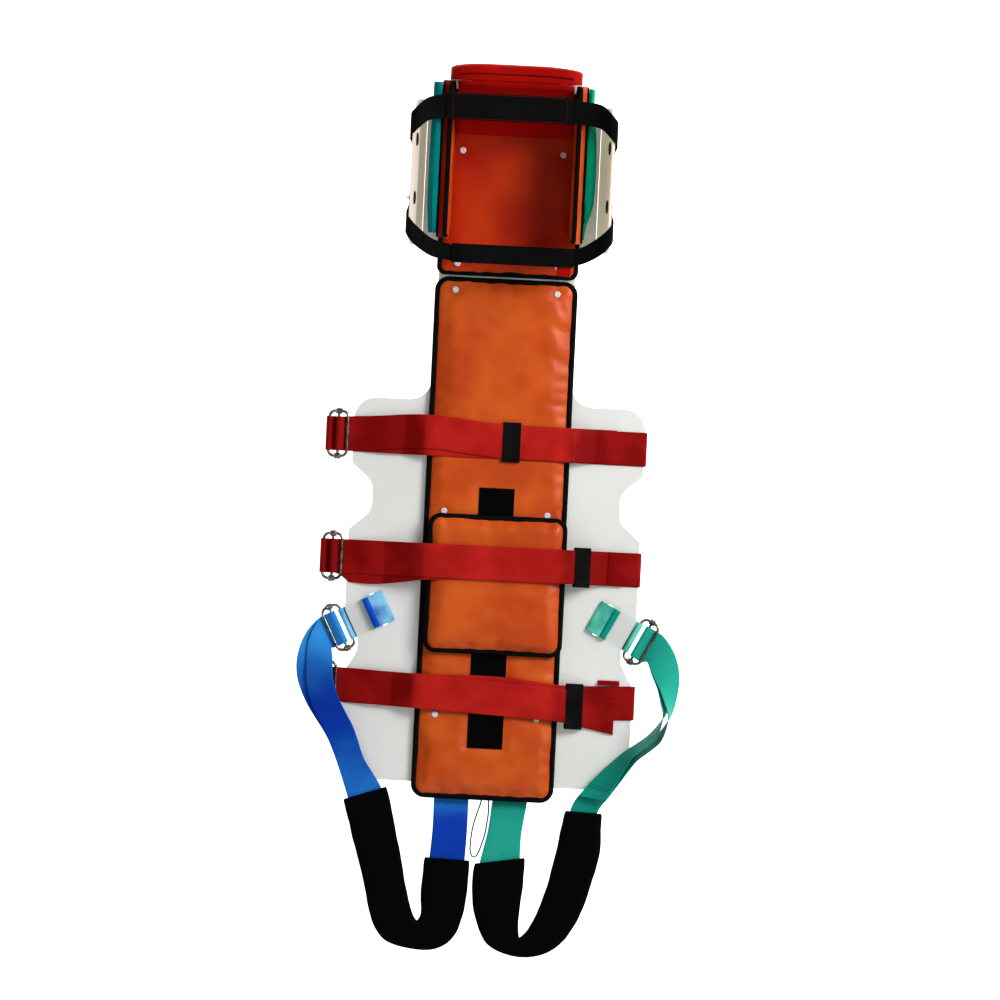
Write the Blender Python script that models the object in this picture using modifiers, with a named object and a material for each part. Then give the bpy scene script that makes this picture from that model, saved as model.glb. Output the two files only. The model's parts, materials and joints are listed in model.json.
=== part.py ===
"""Short extrication spine board with head trough, three torso straps and two leg straps.

Sizes below are in millimetres and become metres when a mesh is made (MM).
X runs across the board, Y towards the head, Z up from the floor that the board lies on.
Stations along the spine are measured from the waist line, which lies at y = WAIST_Y.
"""
import math

import bmesh
import bpy
from mathutils import Vector

MM = 0.001

# ---- driving dimensions (mm) ----
GAP = 0.3                 # clearance between touching pieces
WAIST_Y = -43.0           # y of station 0
WEB_T = 1.5               # webbing thickness
WEB_W = 50.0              # torso and leg webbing width
LAYER = 2.1               # spacing of two webbing layers, middle to middle

BOARD_T = 4.0             # plastic sheet thickness
BOARD_HALF = 214.5        # half width over the torso
BOARD_FOOT = -360.0       # station of the foot end
SHOULDER = 201.0          # station of the shoulder edge
NOTCH_DEPTH = 32.5        # hand notches
WAIST_DEPTH = 21.0        # hollows beside the leg anchors
NECK_HALF = 100.0         # half width of the neck
HEAD_END = 692.0          # station of the head end
WING_FOOT = 428.0         # stations between which the wings fold
WING_HEAD = 642.0

WING_HINGE_X = 130.0      # half spacing of the two fold lines
WING_H = 140.0            # wing height along its face
WING_LEAN = 7.0           # degrees that a raised wing leans outwards
WING_CLEAR = 0.5          # gap along the fold line

TORSO_PAD_HALF = 105.0
TORSO_PAD_FOOT = -383.0
TORSO_PAD_HEAD = 384.0
TORSO_PAD_CORNER = 20.0
PAD_T = 12.0              # pad thickness at its crown
BINDING_W = 8.0           # width of the edge binding
BINDING_H = 9.0           # height of the edge binding
COVER_T = 1.0             # vinyl thickness

LUMBAR_X = (-98.0, 107.0)
LUMBAR_SPAN = (-169.0, 36.0)
LUMBAR_T = 13.0
LUMBAR_CORNER = 18.0
STRIP_X = (-25.5, 26.5)
STRIP_SPAN = (-307.0, 76.0)
STRIP_T = 1.5

HEAD_PAD_HALF = 104.0
HEAD_PAD_SPAN = (386.5, 660.0)
HEAD_PAD_CORNER = 12.0
HEAD_ROLL_HALF = 97.0     # half width behind the side pads
HEAD_ROLL_FOOT = 592.0
HEAD_ROLL_TOP = 697.0
HEAD_ROLL_Z = 104.0
HEAD_ROLL_CLEAR = 1.5     # gap to the side pads' ends

SIDE_TOP = 112.0          # height of the side pads' tops
SIDE_SPAN = (440.0, 672.0)
SIDE_INNER = (88.0, 96.5)   # inner face, at its foot and at its top
SIDE_FACE = 107.5         # outer side of the vinyl-covered half
SIDE_OUTER = 124.0        # outer side of the bare foam

FOREHEAD_PAD = (-101.0, 83.0, 615.0, 655.0)   # x from, x to, station from, station to
FOREHEAD_Z = 124.0        # middle height of the forehead pad
FOREHEAD_PAD_T = 6.0
CHIN_PAD = (-83.0, 94.0, 405.0, 433.0)
CHIN_Z = 118.0
CHIN_PAD_T = 5.0
RIVET_UP = 118.0          # wing rivets, up the wing's face
FOREHEAD_RIVET = 583.0    # their stations
CHIN_RIVET = 497.0

RIVET_HEAD_R = 4.8
RIVET_SHANK_R = 2.0
RIVET_HOLE_R = 2.4
RIVET_HEAD_T = 1.4

WIRE_R = 2.2              # buckle ring wire
RING_LONG = 71.0          # ring length across the webbing, outside
RING_PITCH = 27.6         # middle to middle of the ring's two long wires
RING_CORNER = 9.0
RING_NEAR_Z = 8.4         # height of the anchored wire
RING_FAR_Z = 13.0         # height of the wire that the strap pulls under
BAR_R = 2.0
BAR_AT = RING_PITCH / 2 + 0.2   # bar's distance from the anchored wire
KNOB_R = 4.8
KNOB_LEN = 9.0
LOOP_CLEAR = 0.5          # webbing to ring wire

RED_RING_X = -BOARD_HALF - 36.1   # anchored wire of a torso strap's ring
LEG_ANGLE = 27.0          # direction of the leg anchors, degrees below straight out
LEG_ANCHOR = (BOARD_HALF - 49.5, -110.0)   # half spacing and station of the leg slots
LEG_REACH = BOARD_HALF - 214.5   # leg strap points keep their distance from the board's edge
LEG_RING_U = 51.0         # from the slot to the leg ring's anchored wire
ANCHOR_W = 48.0           # leg anchor webbing
SLOT_LEN = ANCHOR_W + 2.4
SLOT_W = 7.0

WASHER_R = 10.0           # dark washers inside the wings
WASHER_T = 1.8

KEEPER_W = 26.0
KEEPER_T = 1.0
KEEPER_CLEAR = 0.6
SAG_X = 100.0             # where the layers of the foot-end strap part
SAG_V = -236.0

SLEEVE_T = 14.0           # sleeve thickness
SLEEVE_WALL = 6.0         # padding beside the webbing
SLOT_HALF = 2.2           # half height of the slot that the webbing runs in
SLEEVE_Z = SLEEVE_T / 2 + 0.2

CORD_R = 1.0

# ---- heights that follow ----
BOARD_Z0 = WEB_T + GAP
BOARD_TOP = BOARD_Z0 + BOARD_T
PAD_Z0 = BOARD_TOP + GAP
PAD_TOP = PAD_Z0 + PAD_T
STRIP_Z0 = PAD_TOP + GAP
STRIP_TOP = STRIP_Z0 + STRIP_T
LUMBAR_Z0 = STRIP_TOP + GAP
LUMBAR_TOP = LUMBAR_Z0 + LUMBAR_T
RIVET_TOP = PAD_TOP + GAP + RIVET_HEAD_T
HINGE_Z = BOARD_Z0 + BOARD_T / 2
TAIL_OFFSET = BOARD_T / 2 + GAP + WEB_T / 2 + 0.2   # head strap tails, out from a wing's middle

ORANGE = (0.62, 0.105, 0.014, 1)
BLACK = (0.006, 0.006, 0.007, 1)
RED = (0.42, 0.01, 0.01, 1)
BLUE = (0.01, 0.1, 0.45, 1)
GREEN = (0.01, 0.32, 0.23, 1)
FOAM_GREEN = (0.0, 0.24, 0.14, 1)
DEEP_RED = (0.3, 0.004, 0.002, 1)
WHITE = (0.78, 0.78, 0.74, 1)
STEEL = (0.32, 0.29, 0.25, 1)
TEAL = (0.0, 0.14, 0.15, 1)


# ---- scene helpers ----
def clear_scene():
    for obj in list(bpy.data.objects):
        bpy.data.objects.remove(obj, do_unlink=True)


def new_collection(name):
    found = bpy.data.collections.get(name)
    if found is None:
        found = bpy.data.collections.new(name)
        bpy.context.scene.collection.children.link(found)
    return found


def material(name, colour, roughness, metallic=0.0):
    found = bpy.data.materials.get(name)
    if found is None:
        found = bpy.data.materials.new(name)
        found.use_nodes = True
        shader = found.node_tree.nodes["Principled BSDF"]
        shader.inputs["Base Color"].default_value = colour
        shader.inputs["Roughness"].default_value = roughness
        shader.inputs["Metallic"].default_value = metallic
    return found


clear_scene()
PARTS = new_collection("spine_board")
CUTTERS = new_collection("cutters")
BOARD_MAT = material("board_plastic", WHITE, 0.35)
VINYL_MAT = material("pad_vinyl", ORANGE, 0.45)
BINDING_MAT = material("binding_tape", BLACK, 0.7)
HOOK_MAT = material("hook_and_loop", BLACK, 0.95)
RED_MAT = material("red_webbing", RED, 0.6)
BLUE_MAT = material("blue_webbing", BLUE, 0.6)
GREEN_MAT = material("green_webbing", GREEN, 0.6)
STEEL_MAT = material("buckle_steel", STEEL, 0.35, 1.0)
NYLON_MAT = material("white_nylon", WHITE, 0.3)
HEAD_VINYL_MAT = material("head_vinyl", DEEP_RED, 0.5)
FOAM_MAT = material("pad_foam", TEAL, 0.9)
GREEN_FOAM_MAT = material("green_foam", FOAM_GREEN, 0.9)
SLEEVE_MAT = material("sleeve_fabric", BLACK, 0.85)
CORD_MAT = material("black_cord", BLACK, 0.6)


def y_of(station):
    return WAIST_Y + station


def link(obj, mat, collection=PARTS):
    obj.data.materials.clear()
    obj.data.materials.append(mat)
    collection.objects.link(obj)
    return obj


def mesh_object(name, points, faces, mat, smooth=False, collection=PARTS):
    """A mesh from points in mm, with its faces turned outwards."""
    bm = bmesh.new()
    verts = [bm.verts.new(Vector(p) * MM) for p in points]
    for face in faces:
        bm.faces.new([verts[i] for i in face])
    bmesh.ops.recalc_face_normals(bm, faces=bm.faces[:])
    mesh = bpy.data.meshes.new(name)
    bm.to_mesh(mesh)
    bm.free()
    if smooth:
        mesh.shade_smooth()
        mesh.set_sharp_from_angle(angle=math.radians(40))
    return link(bpy.data.objects.new(name, mesh), mat, collection)


def to_mesh(obj):
    """Turn a curve object into a welded mesh object of the same name."""
    bpy.context.view_layer.update()
    depsgraph = bpy.context.evaluated_depsgraph_get()
    mesh = bpy.data.meshes.new_from_object(obj.evaluated_get(depsgraph))
    bm = bmesh.new()
    bm.from_mesh(mesh)
    bmesh.ops.remove_doubles(bm, verts=bm.verts[:], dist=0.00001)
    bmesh.ops.recalc_face_normals(bm, faces=bm.faces[:])
    bm.to_mesh(mesh)
    bm.free()
    name = obj.name
    mat = obj.data.materials[0]
    place = obj.matrix_world.copy()
    bpy.data.objects.remove(obj, do_unlink=True)
    made = bpy.data.objects.new(name, mesh)
    made.matrix_world = place
    return link(made, mat)


def cut(obj, cutter, name):
    boolean = obj.modifiers.new(name, "BOOLEAN")
    boolean.operation = "DIFFERENCE"
    boolean.solver = "EXACT"
    boolean.object = cutter


def hide_cutter(obj):
    obj.hide_render = True
    obj.display_type = "WIRE"
    return obj


# ---- outlines ----
def rounded(corners, steps=5):
    """A closed outline from (x, y, radius) corners, each rounded by an arc."""
    outline = []
    count = len(corners)
    for i, (x, y, radius) in enumerate(corners):
        here = Vector((x, y))
        back = (Vector(corners[i - 1][:2]) - here).normalized()
        ahead = (Vector(corners[(i + 1) % count][:2]) - here).normalized()
        if radius <= 0:
            outline.append((x, y))
            continue
        half = back.angle(ahead) / 2
        reach = radius / math.tan(half)
        centre = here + (back + ahead).normalized() * (radius / math.sin(half))
        first = here + back * reach - centre
        sweep = (here + ahead * reach - centre).angle_signed(first)
        for k in range(steps + 1):
            turn = sweep * k / steps
            c, s = math.cos(turn), math.sin(turn)
            outline.append((centre.x + first.x * c - first.y * s, centre.y + first.x * s + first.y * c))
    return outline


def rounded_box(x0, x1, y0, y1, radius, steps=5):
    corners = [(x0, y0, radius), (x1, y0, radius), (x1, y1, radius), (x0, y1, radius)]
    return rounded(corners, steps)


def slab(name, outlines, z0, z1, mat):
    """A flat plate between two heights; outlines after the first are holes."""
    curve = bpy.data.curves.new(name, "CURVE")
    curve.dimensions = "2D"
    curve.fill_mode = "BOTH"
    curve.extrude = (z1 - z0) / 2 * MM
    for outline in outlines:
        spline = curve.splines.new("POLY")
        spline.points.add(len(outline) - 1)
        spline.use_cyclic_u = True
        for point, (x, y) in zip(spline.points, outline):
            point.co = (x * MM, y * MM, 0, 1)
    obj = bpy.data.objects.new(name, curve)
    obj.location.z = (z0 + z1) / 2 * MM
    return link(obj, mat)


def prism(name, profile, axis_from, axis_to, mat):
    """A constant section, given as (x, z) points, run from one y to another."""
    count = len(profile)
    points = [(x, axis_from, z) for x, z in profile] + [(x, axis_to, z) for x, z in profile]
    faces = [tuple(range(count)), tuple(range(2 * count - 1, count - 1, -1))]
    faces += [(i, (i + 1) % count, count + (i + 1) % count, count + i) for i in range(count)]
    return mesh_object(name, points, faces, mat)


# ---- paths and ribbons ----
def smooth_path(points, steps):
    """Catmull-Rom curve through points of any dimension."""
    vectors = [Vector(p) for p in points]
    ends = [vectors[0] * 2 - vectors[1]] + vectors + [vectors[-1] * 2 - vectors[-2]]
    curve = []
    for i in range(1, len(ends) - 2):
        a, b, c, d = ends[i - 1:i + 3]
        for k in range(steps):
            t = k / steps
            curve.append(0.5 * (2 * b + (c - a) * t + (2 * a - 5 * b + 4 * c - d) * t ** 2
                                + (3 * b - a - 3 * c + d) * t ** 3))
    curve.append(vectors[-1])
    return curve


def bend_path(corners, steps=3):
    """An open polyline from (p, z, radius) corners, each bend rounded by an arc."""
    path = [Vector(corners[0][:2])]
    for i in range(1, len(corners) - 1):
        here = Vector(corners[i][:2])
        back = (Vector(corners[i - 1][:2]) - here).normalized()
        ahead = (Vector(corners[i + 1][:2]) - here).normalized()
        half = back.angle(ahead) / 2
        radius = corners[i][2]
        if radius <= 0 or half > math.radians(89.5):
            path.append(here)
            continue
        reach = radius / math.tan(half)
        centre = here + (back + ahead).normalized() * (radius / math.sin(half))
        first = here + back * reach - centre
        sweep = (here + ahead * reach - centre).angle_signed(first)
        for k in range(steps + 1):
            turn = sweep * k / steps
            c, s = math.cos(turn), math.sin(turn)
            path.append(centre + Vector((first.x * c - first.y * s, first.x * s + first.y * c)))
    path.append(Vector(corners[-1][:2]))
    return path


def ribbon(name, edges, mat, thickness=WEB_T):
    """Webbing between two edge lines: edges is a list of (left, right) point pairs."""
    pairs = [(Vector(a), Vector(b)) for a, b in edges]
    middles = [(a + b) / 2 for a, b in pairs]
    points = []
    last = len(pairs) - 1
    for i, (a, b) in enumerate(pairs):
        before, after = middles[max(i - 1, 0)], middles[min(i + 1, last)]
        normal = (after - before).cross(b - a).normalized() * thickness / 2
        points += [a + normal, b + normal, b - normal, a - normal]
    faces = [(0, 1, 2, 3), tuple(4 * last + k for k in (3, 2, 1, 0))]
    for i in range(last):
        for k in range(4):
            n = (k + 1) % 4
            faces.append((4 * i + k, 4 * i + n, 4 * i + 4 + n, 4 * i + 4 + k))
    return mesh_object(name, points, faces, mat)


# ---- buckle frame: p runs along the pull, s across the webbing, z up ----
class Frame:
    def __init__(self, origin, angle):
        self.origin = Vector((origin[0], origin[1], 0))
        self.pull = Vector((math.cos(angle), math.sin(angle), 0))
        self.side = Vector((-math.sin(angle), math.cos(angle), 0))

    def at(self, p, s, z):
        return self.origin + self.pull * p + self.side * s + Vector((0, 0, z))

    def across(self, path, width=WEB_W):
        """Edge pairs of webbing that follows (p, z) points."""
        return [(self.at(p, width / 2, z), self.at(p, -width / 2, z)) for p, z in path]


RING_TILT = math.atan2(RING_FAR_Z - RING_NEAR_Z, RING_PITCH)
BAR_Z = RING_NEAR_Z + BAR_AT * math.tan(RING_TILT)
LOWER_Z = BOARD_TOP + GAP + WEB_T / 2
UPPER_Z = LOWER_Z + LAYER
WRAP_R = BAR_Z - LOWER_Z


def ring(name, frame):
    """Closed wire ring, tilted so that its far wire clears both webbing layers."""
    half_p = RING_PITCH / 2 / math.cos(RING_TILT)
    half_s = RING_LONG / 2 - WIRE_R
    outline = rounded_box(-half_p, half_p, -half_s, half_s, RING_CORNER, 4)
    curve = bpy.data.curves.new(name, "CURVE")
    curve.dimensions = "3D"
    curve.bevel_depth = WIRE_R * MM
    curve.bevel_resolution = 2
    spline = curve.splines.new("POLY")
    spline.points.add(len(outline) - 1)
    spline.use_cyclic_u = True
    for point, (p, s) in zip(spline.points, outline):
        rise = (RING_NEAR_Z + RING_FAR_Z) / 2 + p * math.sin(RING_TILT)
        place = frame.at(RING_PITCH / 2 + p * math.cos(RING_TILT), s, rise)
        point.co = (*(place * MM), 1)
    return link(bpy.data.objects.new(name, curve), STEEL_MAT)


def slide_bar(name, frame):
    """Rod with a bored knob at each end that slides on the ring's short wires."""
    half_s = RING_LONG / 2 - WIRE_R
    along = (frame.pull * math.cos(RING_TILT) + Vector((0, 0, math.sin(RING_TILT))))
    bm = bmesh.new()
    rod = bmesh.ops.create_cone(bm, cap_ends=True, segments=12, radius1=BAR_R * MM, radius2=BAR_R * MM,
                                depth=(2 * half_s - WIRE_R - KNOB_R / 2) * MM)["verts"]
    turn = Vector((0, 0, 1)).rotation_difference(frame.side).to_matrix()
    bmesh.ops.rotate(bm, verts=rod, matrix=turn)
    mesh = bpy.data.meshes.new(name)
    bm.to_mesh(mesh)
    bm.free()
    obj = link(bpy.data.objects.new(name, mesh), STEEL_MAT)
    obj.location = frame.at(BAR_AT, 0, BAR_Z) * MM
    for end in (-1, 1):
        knob = cylinder(f"{name}_knob_{end}", KNOB_R, KNOB_LEN, along, 12)
        knob.location = frame.at(BAR_AT, end * half_s, BAR_Z) * MM
        join = obj.modifiers.new(f"knob_{end}", "BOOLEAN")
        join.operation = "UNION"
        join.solver = "EXACT"
        join.object = knob
    for end in (-1, 1):
        bore = cylinder(f"{name}_bore_{end}", WIRE_R + 0.5, KNOB_LEN * 2, along, 12)
        bore.location = frame.at(BAR_AT, end * half_s, BAR_Z) * MM
        cut(obj, bore, f"bore_{end}")
    return obj


def cylinder(name, radius, length, direction, segments):
    """A cutter or tool body: a cylinder about its own origin, along a direction."""
    bm = bmesh.new()
    bmesh.ops.create_cone(bm, cap_ends=True, segments=segments, radius1=radius * MM, radius2=radius * MM,
                          depth=length * MM)
    turn = Vector((0, 0, 1)).rotation_difference(Vector(direction)).to_matrix()
    bmesh.ops.rotate(bm, verts=bm.verts[:], matrix=turn)
    mesh = bpy.data.meshes.new(name)
    bm.to_mesh(mesh)
    bm.free()
    obj = bpy.data.objects.new(name, mesh)
    CUTTERS.objects.link(obj)
    return hide_cutter(obj)


def wire_loop(start, sweep, at=0.0):
    """Arc of webbing round the anchored wire, from one angle in degrees through a sweep."""
    arc = []
    for k in range(9):
        angle = math.radians(start + sweep * k / 8)
        arc.append(Vector((at + LOOP_R * math.cos(angle), RING_NEAR_Z + LOOP_R * math.sin(angle))))
    return arc


def bar_wrap():
    """Arc of webbing round the slide bar, from the lower layer over to the upper one."""
    arc = []
    for k in range(8):
        angle = math.radians(-90 - 215 * k / 7)
        arc.append(Vector((BAR_AT + WRAP_R * math.cos(angle), BAR_Z + WRAP_R * math.sin(angle))))
    return arc


LOOP_R = WIRE_R + LOOP_CLEAR + WEB_T / 2


# ---- board, wings and pads ----
def torso_board():
    """The flat sheet: head base, neck, shoulders, two hand notches a side and a round foot."""
    hinge = WING_HINGE_X - BOARD_T / 2 - WING_CLEAR
    notch, waist = BOARD_HALF - NOTCH_DEPTH, BOARD_HALF - WAIST_DEPTH
    half = [
        (NECK_HALF - 4, HEAD_END, 12), (NECK_HALF - 1, WING_HEAD + 14, 8), (hinge, WING_HEAD + 2, 4),
        (hinge, WING_FOOT - 2, 4), (NECK_HALF, WING_FOOT - 18, 8), (NECK_HALF + 3, SHOULDER, 32),
        (BOARD_HALF, SHOULDER, 32), (BOARD_HALF, 104, 9), (notch, 76, 26), (notch, 35, 26), (BOARD_HALF, 6, 9),
        (BOARD_HALF, -112, 20), (waist, -153, 22), (waist, -173, 22), (BOARD_HALF - 1, -208, 16),
        (BOARD_HALF - 1, BOARD_FOOT, 42),
    ]
    right = [(x, y_of(v), r) for x, v, r in half]
    left = [(-x, y, r) for x, y, r in reversed(right)]
    board = to_mesh(slab("torso_board", [rounded(right + left)], BOARD_Z0, BOARD_TOP, BOARD_MAT))
    for side in (-1, 1):
        slot = leg_frame(side)
        bm = bmesh.new()
        bmesh.ops.create_cube(bm, size=1)
        mesh = bpy.data.meshes.new("slot")
        bm.to_mesh(mesh)
        bm.free()
        cutter = hide_cutter(bpy.data.objects.new(f"leg_slot_{side}", mesh))
        cutter.scale = Vector((SLOT_W, SLOT_LEN, 3 * BOARD_T)) * MM
        cutter.location = slot.at(0, 0, HINGE_Z) * MM
        cutter.rotation_euler.z = math.atan2(slot.pull.y, slot.pull.x)
        CUTTERS.objects.link(cutter)
        cut(board, cutter, f"slot_{side}")
    return board


def wing_x(height, offset):
    """Distance from the middle plane of a raised wing's face, offset outwards, at a height."""
    lean = math.radians(WING_LEAN)
    return WING_HINGE_X + (height - HINGE_Z) * math.tan(lean) + offset / math.cos(lean)


def wing_point(side, station, up, offset):
    """A point on a raised wing: up is measured along its face from the fold line."""
    lean = math.radians(WING_LEAN)
    x = WING_HINGE_X + up * math.sin(lean) + offset * math.cos(lean)
    return (side * x, y_of(station), HINGE_Z + up * math.cos(lean) - offset * math.sin(lean))


def head_wing(name, side):
    """A raised wing: a plate whose fold edge is round, with one cut and one round top corner."""
    corners = [(WING_FOOT, 0, 0), (WING_FOOT, WING_H, 26), (WING_HEAD - 26, WING_H, 10),
               (WING_HEAD, WING_H - 34, 10), (WING_HEAD, 0, 0)]
    outline = rounded(corners, 4)
    count = len(outline)
    half = BOARD_T / 2
    points = [wing_point(side, v, up, -half) for v, up in outline]
    points += [wing_point(side, v, up, half) for v, up in outline]
    faces = [tuple(range(count)), tuple(range(2 * count - 1, count - 1, -1))]
    faces += [(i, i + 1, count + i + 1, count + i) for i in range(count - 1)]
    root = []
    for k in range(1, 6):
        angle = math.pi * k / 6
        offset, up = -half * math.cos(angle), -half * math.sin(angle)
        root.append([len(points), len(points) + 1])
        points += [wing_point(side, WING_FOOT, up, offset), wing_point(side, WING_HEAD, up, offset)]
    strip = [[0, count - 1]] + root + [[count, 2 * count - 1]]
    faces += [(a[0], b[0], b[1], a[1]) for a, b in zip(strip, strip[1:])]
    faces += [tuple(pair[0] for pair in strip), tuple(pair[1] for pair in reversed(strip))]
    return mesh_object(name, points, faces, BOARD_MAT)


def pad_cover(name, outline, z0, z1, mat):
    """Vinyl skin, open underneath, with a chamfered crown."""
    centre = sum((Vector(p) for p in outline), Vector((0, 0))) / len(outline)
    width = max(x for x, _ in outline) - min(x for x, _ in outline)
    length = max(y for _, y in outline) - min(y for _, y in outline)
    rings = [(0.0, z0), (0.0, z0 + (z1 - z0) * 0.55), (3.0, z1 - 1.6), (8.0, z1)]
    points = []
    for inset, height in rings:
        sx, sy = 1 - 2 * inset / width, 1 - 2 * inset / length
        points += [(centre.x + (x - centre.x) * sx, centre.y + (y - centre.y) * sy, height) for x, y in outline]
    count = len(outline)
    faces = []
    for level in range(len(rings) - 1):
        for i in range(count):
            n = (i + 1) % count
            base = level * count
            faces.append((base + i, base + n, base + count + n, base + count + i))
    faces.append(tuple(3 * count + i for i in range(count)))
    obj = mesh_object(name, points, faces, mat)
    shell = obj.modifiers.new("skin", "SOLIDIFY")
    shell.thickness = COVER_T * MM
    shell.offset = -1
    shell.use_even_offset = True
    return obj


def core_block(name, outline, crown, z0, z1):
    """Foam core: straight sides to a shoulder, then a taper up to the crown."""
    shoulder = z0 + (z1 - z0) * 0.5
    points = [(x, y, z0) for x, y in outline] + [(x, y, shoulder) for x, y in outline]
    points += [(x, y, z1) for x, y in crown]
    count = len(outline)
    faces = [tuple(range(count)), tuple(range(3 * count - 1, 2 * count - 1, -1))]
    for base in (0, count):
        for i in range(count):
            n = (i + 1) % count
            faces.append((base + i, base + n, base + count + n, base + count + i))
    return mesh_object(name, points, faces, FOAM_MAT)


def torso_pad():
    """Long pad: vinyl cover, foam core and the tape binding sewn round its edge."""
    half, y0, y1 = TORSO_PAD_HALF, y_of(TORSO_PAD_FOOT), y_of(TORSO_PAD_HEAD)

    def outline(inset_by, steps):
        corner = max(TORSO_PAD_CORNER - inset_by / 2, 4)
        return rounded_box(-half + inset_by, half - inset_by, y0 + inset_by, y1 - inset_by, corner, steps)

    cover = pad_cover("torso_pad_cover", outline(BINDING_W + GAP, 4), PAD_Z0, PAD_TOP, VINYL_MAT)
    to_mesh(slab("torso_pad_binding", [outline(0, 4), outline(BINDING_W, 4)], PAD_Z0, PAD_Z0 + BINDING_H,
                 BINDING_MAT))
    inside = BINDING_W + COVER_T + 3 * GAP
    core = core_block("torso_pad_foam", outline(inside, 3), outline(inside + 9.5, 3), PAD_Z0,
                      PAD_TOP - COVER_T - 2 * GAP)
    return [cover, core]


PAD_RIVETS = [(-75, 365), (75, 365), (-76, 39), (76, 39), (-75, -260), (75, -260),
              (-74, 404), (74, 404), (-74, 570), (74, 570)]


def pad_rivets(drilled):
    """Round-headed nylon rivets through pads and board, with the holes that they sit in."""
    for number, (x, v) in enumerate(PAD_RIVETS, 1):
        hole = cylinder(f"rivet_hole_{number}", RIVET_HOLE_R, 4 * PAD_T, (0, 0, 1), 10)
        hole.location = Vector((x, y_of(v), PAD_Z0)) * MM
        for piece, low, high in drilled:
            if low < v < high:
                cut(piece, hole, f"rivet_{number}")
        profile = [(0, RIVET_TOP), (RIVET_HEAD_R * 0.6, RIVET_TOP), (RIVET_HEAD_R, PAD_TOP + 2 * GAP),
                   (RIVET_HEAD_R, PAD_TOP + GAP), (RIVET_SHANK_R, PAD_TOP + GAP),
                   (RIVET_SHANK_R, BOARD_Z0 - GAP), (RIVET_HEAD_R * 0.8, BOARD_Z0 - GAP),
                   (RIVET_HEAD_R * 0.8, GAP), (0, GAP)]
        turned(f"pad_rivet_{number}", profile, (x, y_of(v), 0), NYLON_MAT, 10)


def turned(name, profile, place, mat, steps):
    """A turned shape: a profile down its outer side, with a Screw modifier about Z."""
    mesh = bpy.data.meshes.new(name)
    bm = bmesh.new()
    verts = [bm.verts.new((r * MM, 0, z * MM)) for r, z in profile]
    for a, b in zip(verts, verts[1:]):
        bm.edges.new((a, b))
    bm.to_mesh(mesh)
    bm.free()
    obj = link(bpy.data.objects.new(name, mesh), mat)
    obj.location = Vector(place) * MM
    screw = obj.modifiers.new("turn", "SCREW")
    screw.steps = steps
    screw.render_steps = steps
    screw.use_merge_vertices = True
    screw.merge_threshold = 0.0001
    screw.use_smooth_shade = True
    return obj


def side_pad(label, side, foam_mat):
    """Vinyl-covered face block and the bare foam behind it, both carried by the wing."""
    y0, y1 = y_of(SIDE_SPAN[0]), y_of(SIDE_SPAN[1])
    foot = PAD_TOP + 3 * GAP
    (low, high), face = SIDE_INNER, SIDE_FACE
    block = [(low, foot), (high, SIDE_TOP - 4), (high + 3, SIDE_TOP), (face - 3, SIDE_TOP),
             (face, SIDE_TOP - 3), (face, foot)]
    prism(f"side_pad_{label}_face", [(side * x, z) for x, z in block], y0, y1, VINYL_MAT)
    base = PAD_Z0 + GAP
    back = [(face + GAP, base), (WING_HINGE_X - 3.2, base), (WING_HINGE_X - 2.4, foot - 4),
            (SIDE_OUTER, foot + 14), (SIDE_OUTER, SIDE_TOP - 10), (SIDE_OUTER - 5, SIDE_TOP - 4),
            (face + GAP, SIDE_TOP - 4)]
    prism(f"side_pad_{label}_foam", [(side * x, z) for x, z in back], y0 + 7, y1 - 3, foam_mat)


def head_roll():
    """Red bolster across the head end: a sloping front between the side pads, a full-width back."""
    foot = PAD_TOP + GAP
    behind = HEAD_PAD_SPAN[1] + GAP
    shoulder = SIDE_SPAN[1] + HEAD_ROLL_CLEAR
    front = [(HEAD_ROLL_FOOT, foot), (behind, foot), (behind, foot - 6), (shoulder + 8, foot - 6),
             (shoulder + 8, HEAD_ROLL_Z - 4), (shoulder - 2, HEAD_ROLL_Z - 4), (shoulder - 20, HEAD_ROLL_Z - 20),
             (HEAD_ROLL_FOOT + 16, foot + 14)]
    back = [(shoulder, PAD_Z0), (HEAD_ROLL_TOP - 5, PAD_Z0), (HEAD_ROLL_TOP, PAD_Z0 + 8),
            (HEAD_ROLL_TOP, HEAD_ROLL_Z - 9), (HEAD_ROLL_TOP - 6, HEAD_ROLL_Z), (shoulder + 3, HEAD_ROLL_Z),
            (shoulder, HEAD_ROLL_Z - 3)]
    roll = cross_block("head_roll", back, HEAD_ROLL_HALF, PARTS)
    wedge = hide_cutter(cross_block("head_roll_front", front, SIDE_INNER[0] - 2.5, CUTTERS))
    join = roll.modifiers.new("front", "BOOLEAN")
    join.operation = "UNION"
    join.solver = "EXACT"
    join.object = wedge


def cross_block(name, section, half, collection):
    """A (station, z) section run across the board from -half to half."""
    count = len(section)
    points = [(x, y_of(v), z) for x in (-half, half) for v, z in section]
    faces = [tuple(range(count)), tuple(range(2 * count - 1, count - 1, -1))]
    faces += [(i, (i + 1) % count, count + (i + 1) % count, count + i) for i in range(count)]
    return mesh_object(name, points, faces, HEAD_VINYL_MAT, collection=collection)


# ---- head straps ----
def head_strap(name, side, stations, rivet_at):
    """Webbing from the middle of the head over a wing's top edge and down its outer face.

    stations: (x or None, head-side station, foot-side station, height, offset from the wing)
    """
    edges = []
    for x, v_head, v_foot, height, offset in stations:
        reach = wing_x(height, offset) if x is None else x
        edges.append(((side * reach, y_of(v_head), height), (side * reach, y_of(v_foot), height)))
    obj = ribbon(name, edges, HOOK_MAT)
    hole = cylinder(f"{name}_hole", RIVET_HOLE_R, 30, wing_normal(side), 10)
    hole.location = Vector(wing_point(side, rivet_at[0], rivet_at[1], 0)) * MM
    cut(obj, hole, "rivet")
    return hole


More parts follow.
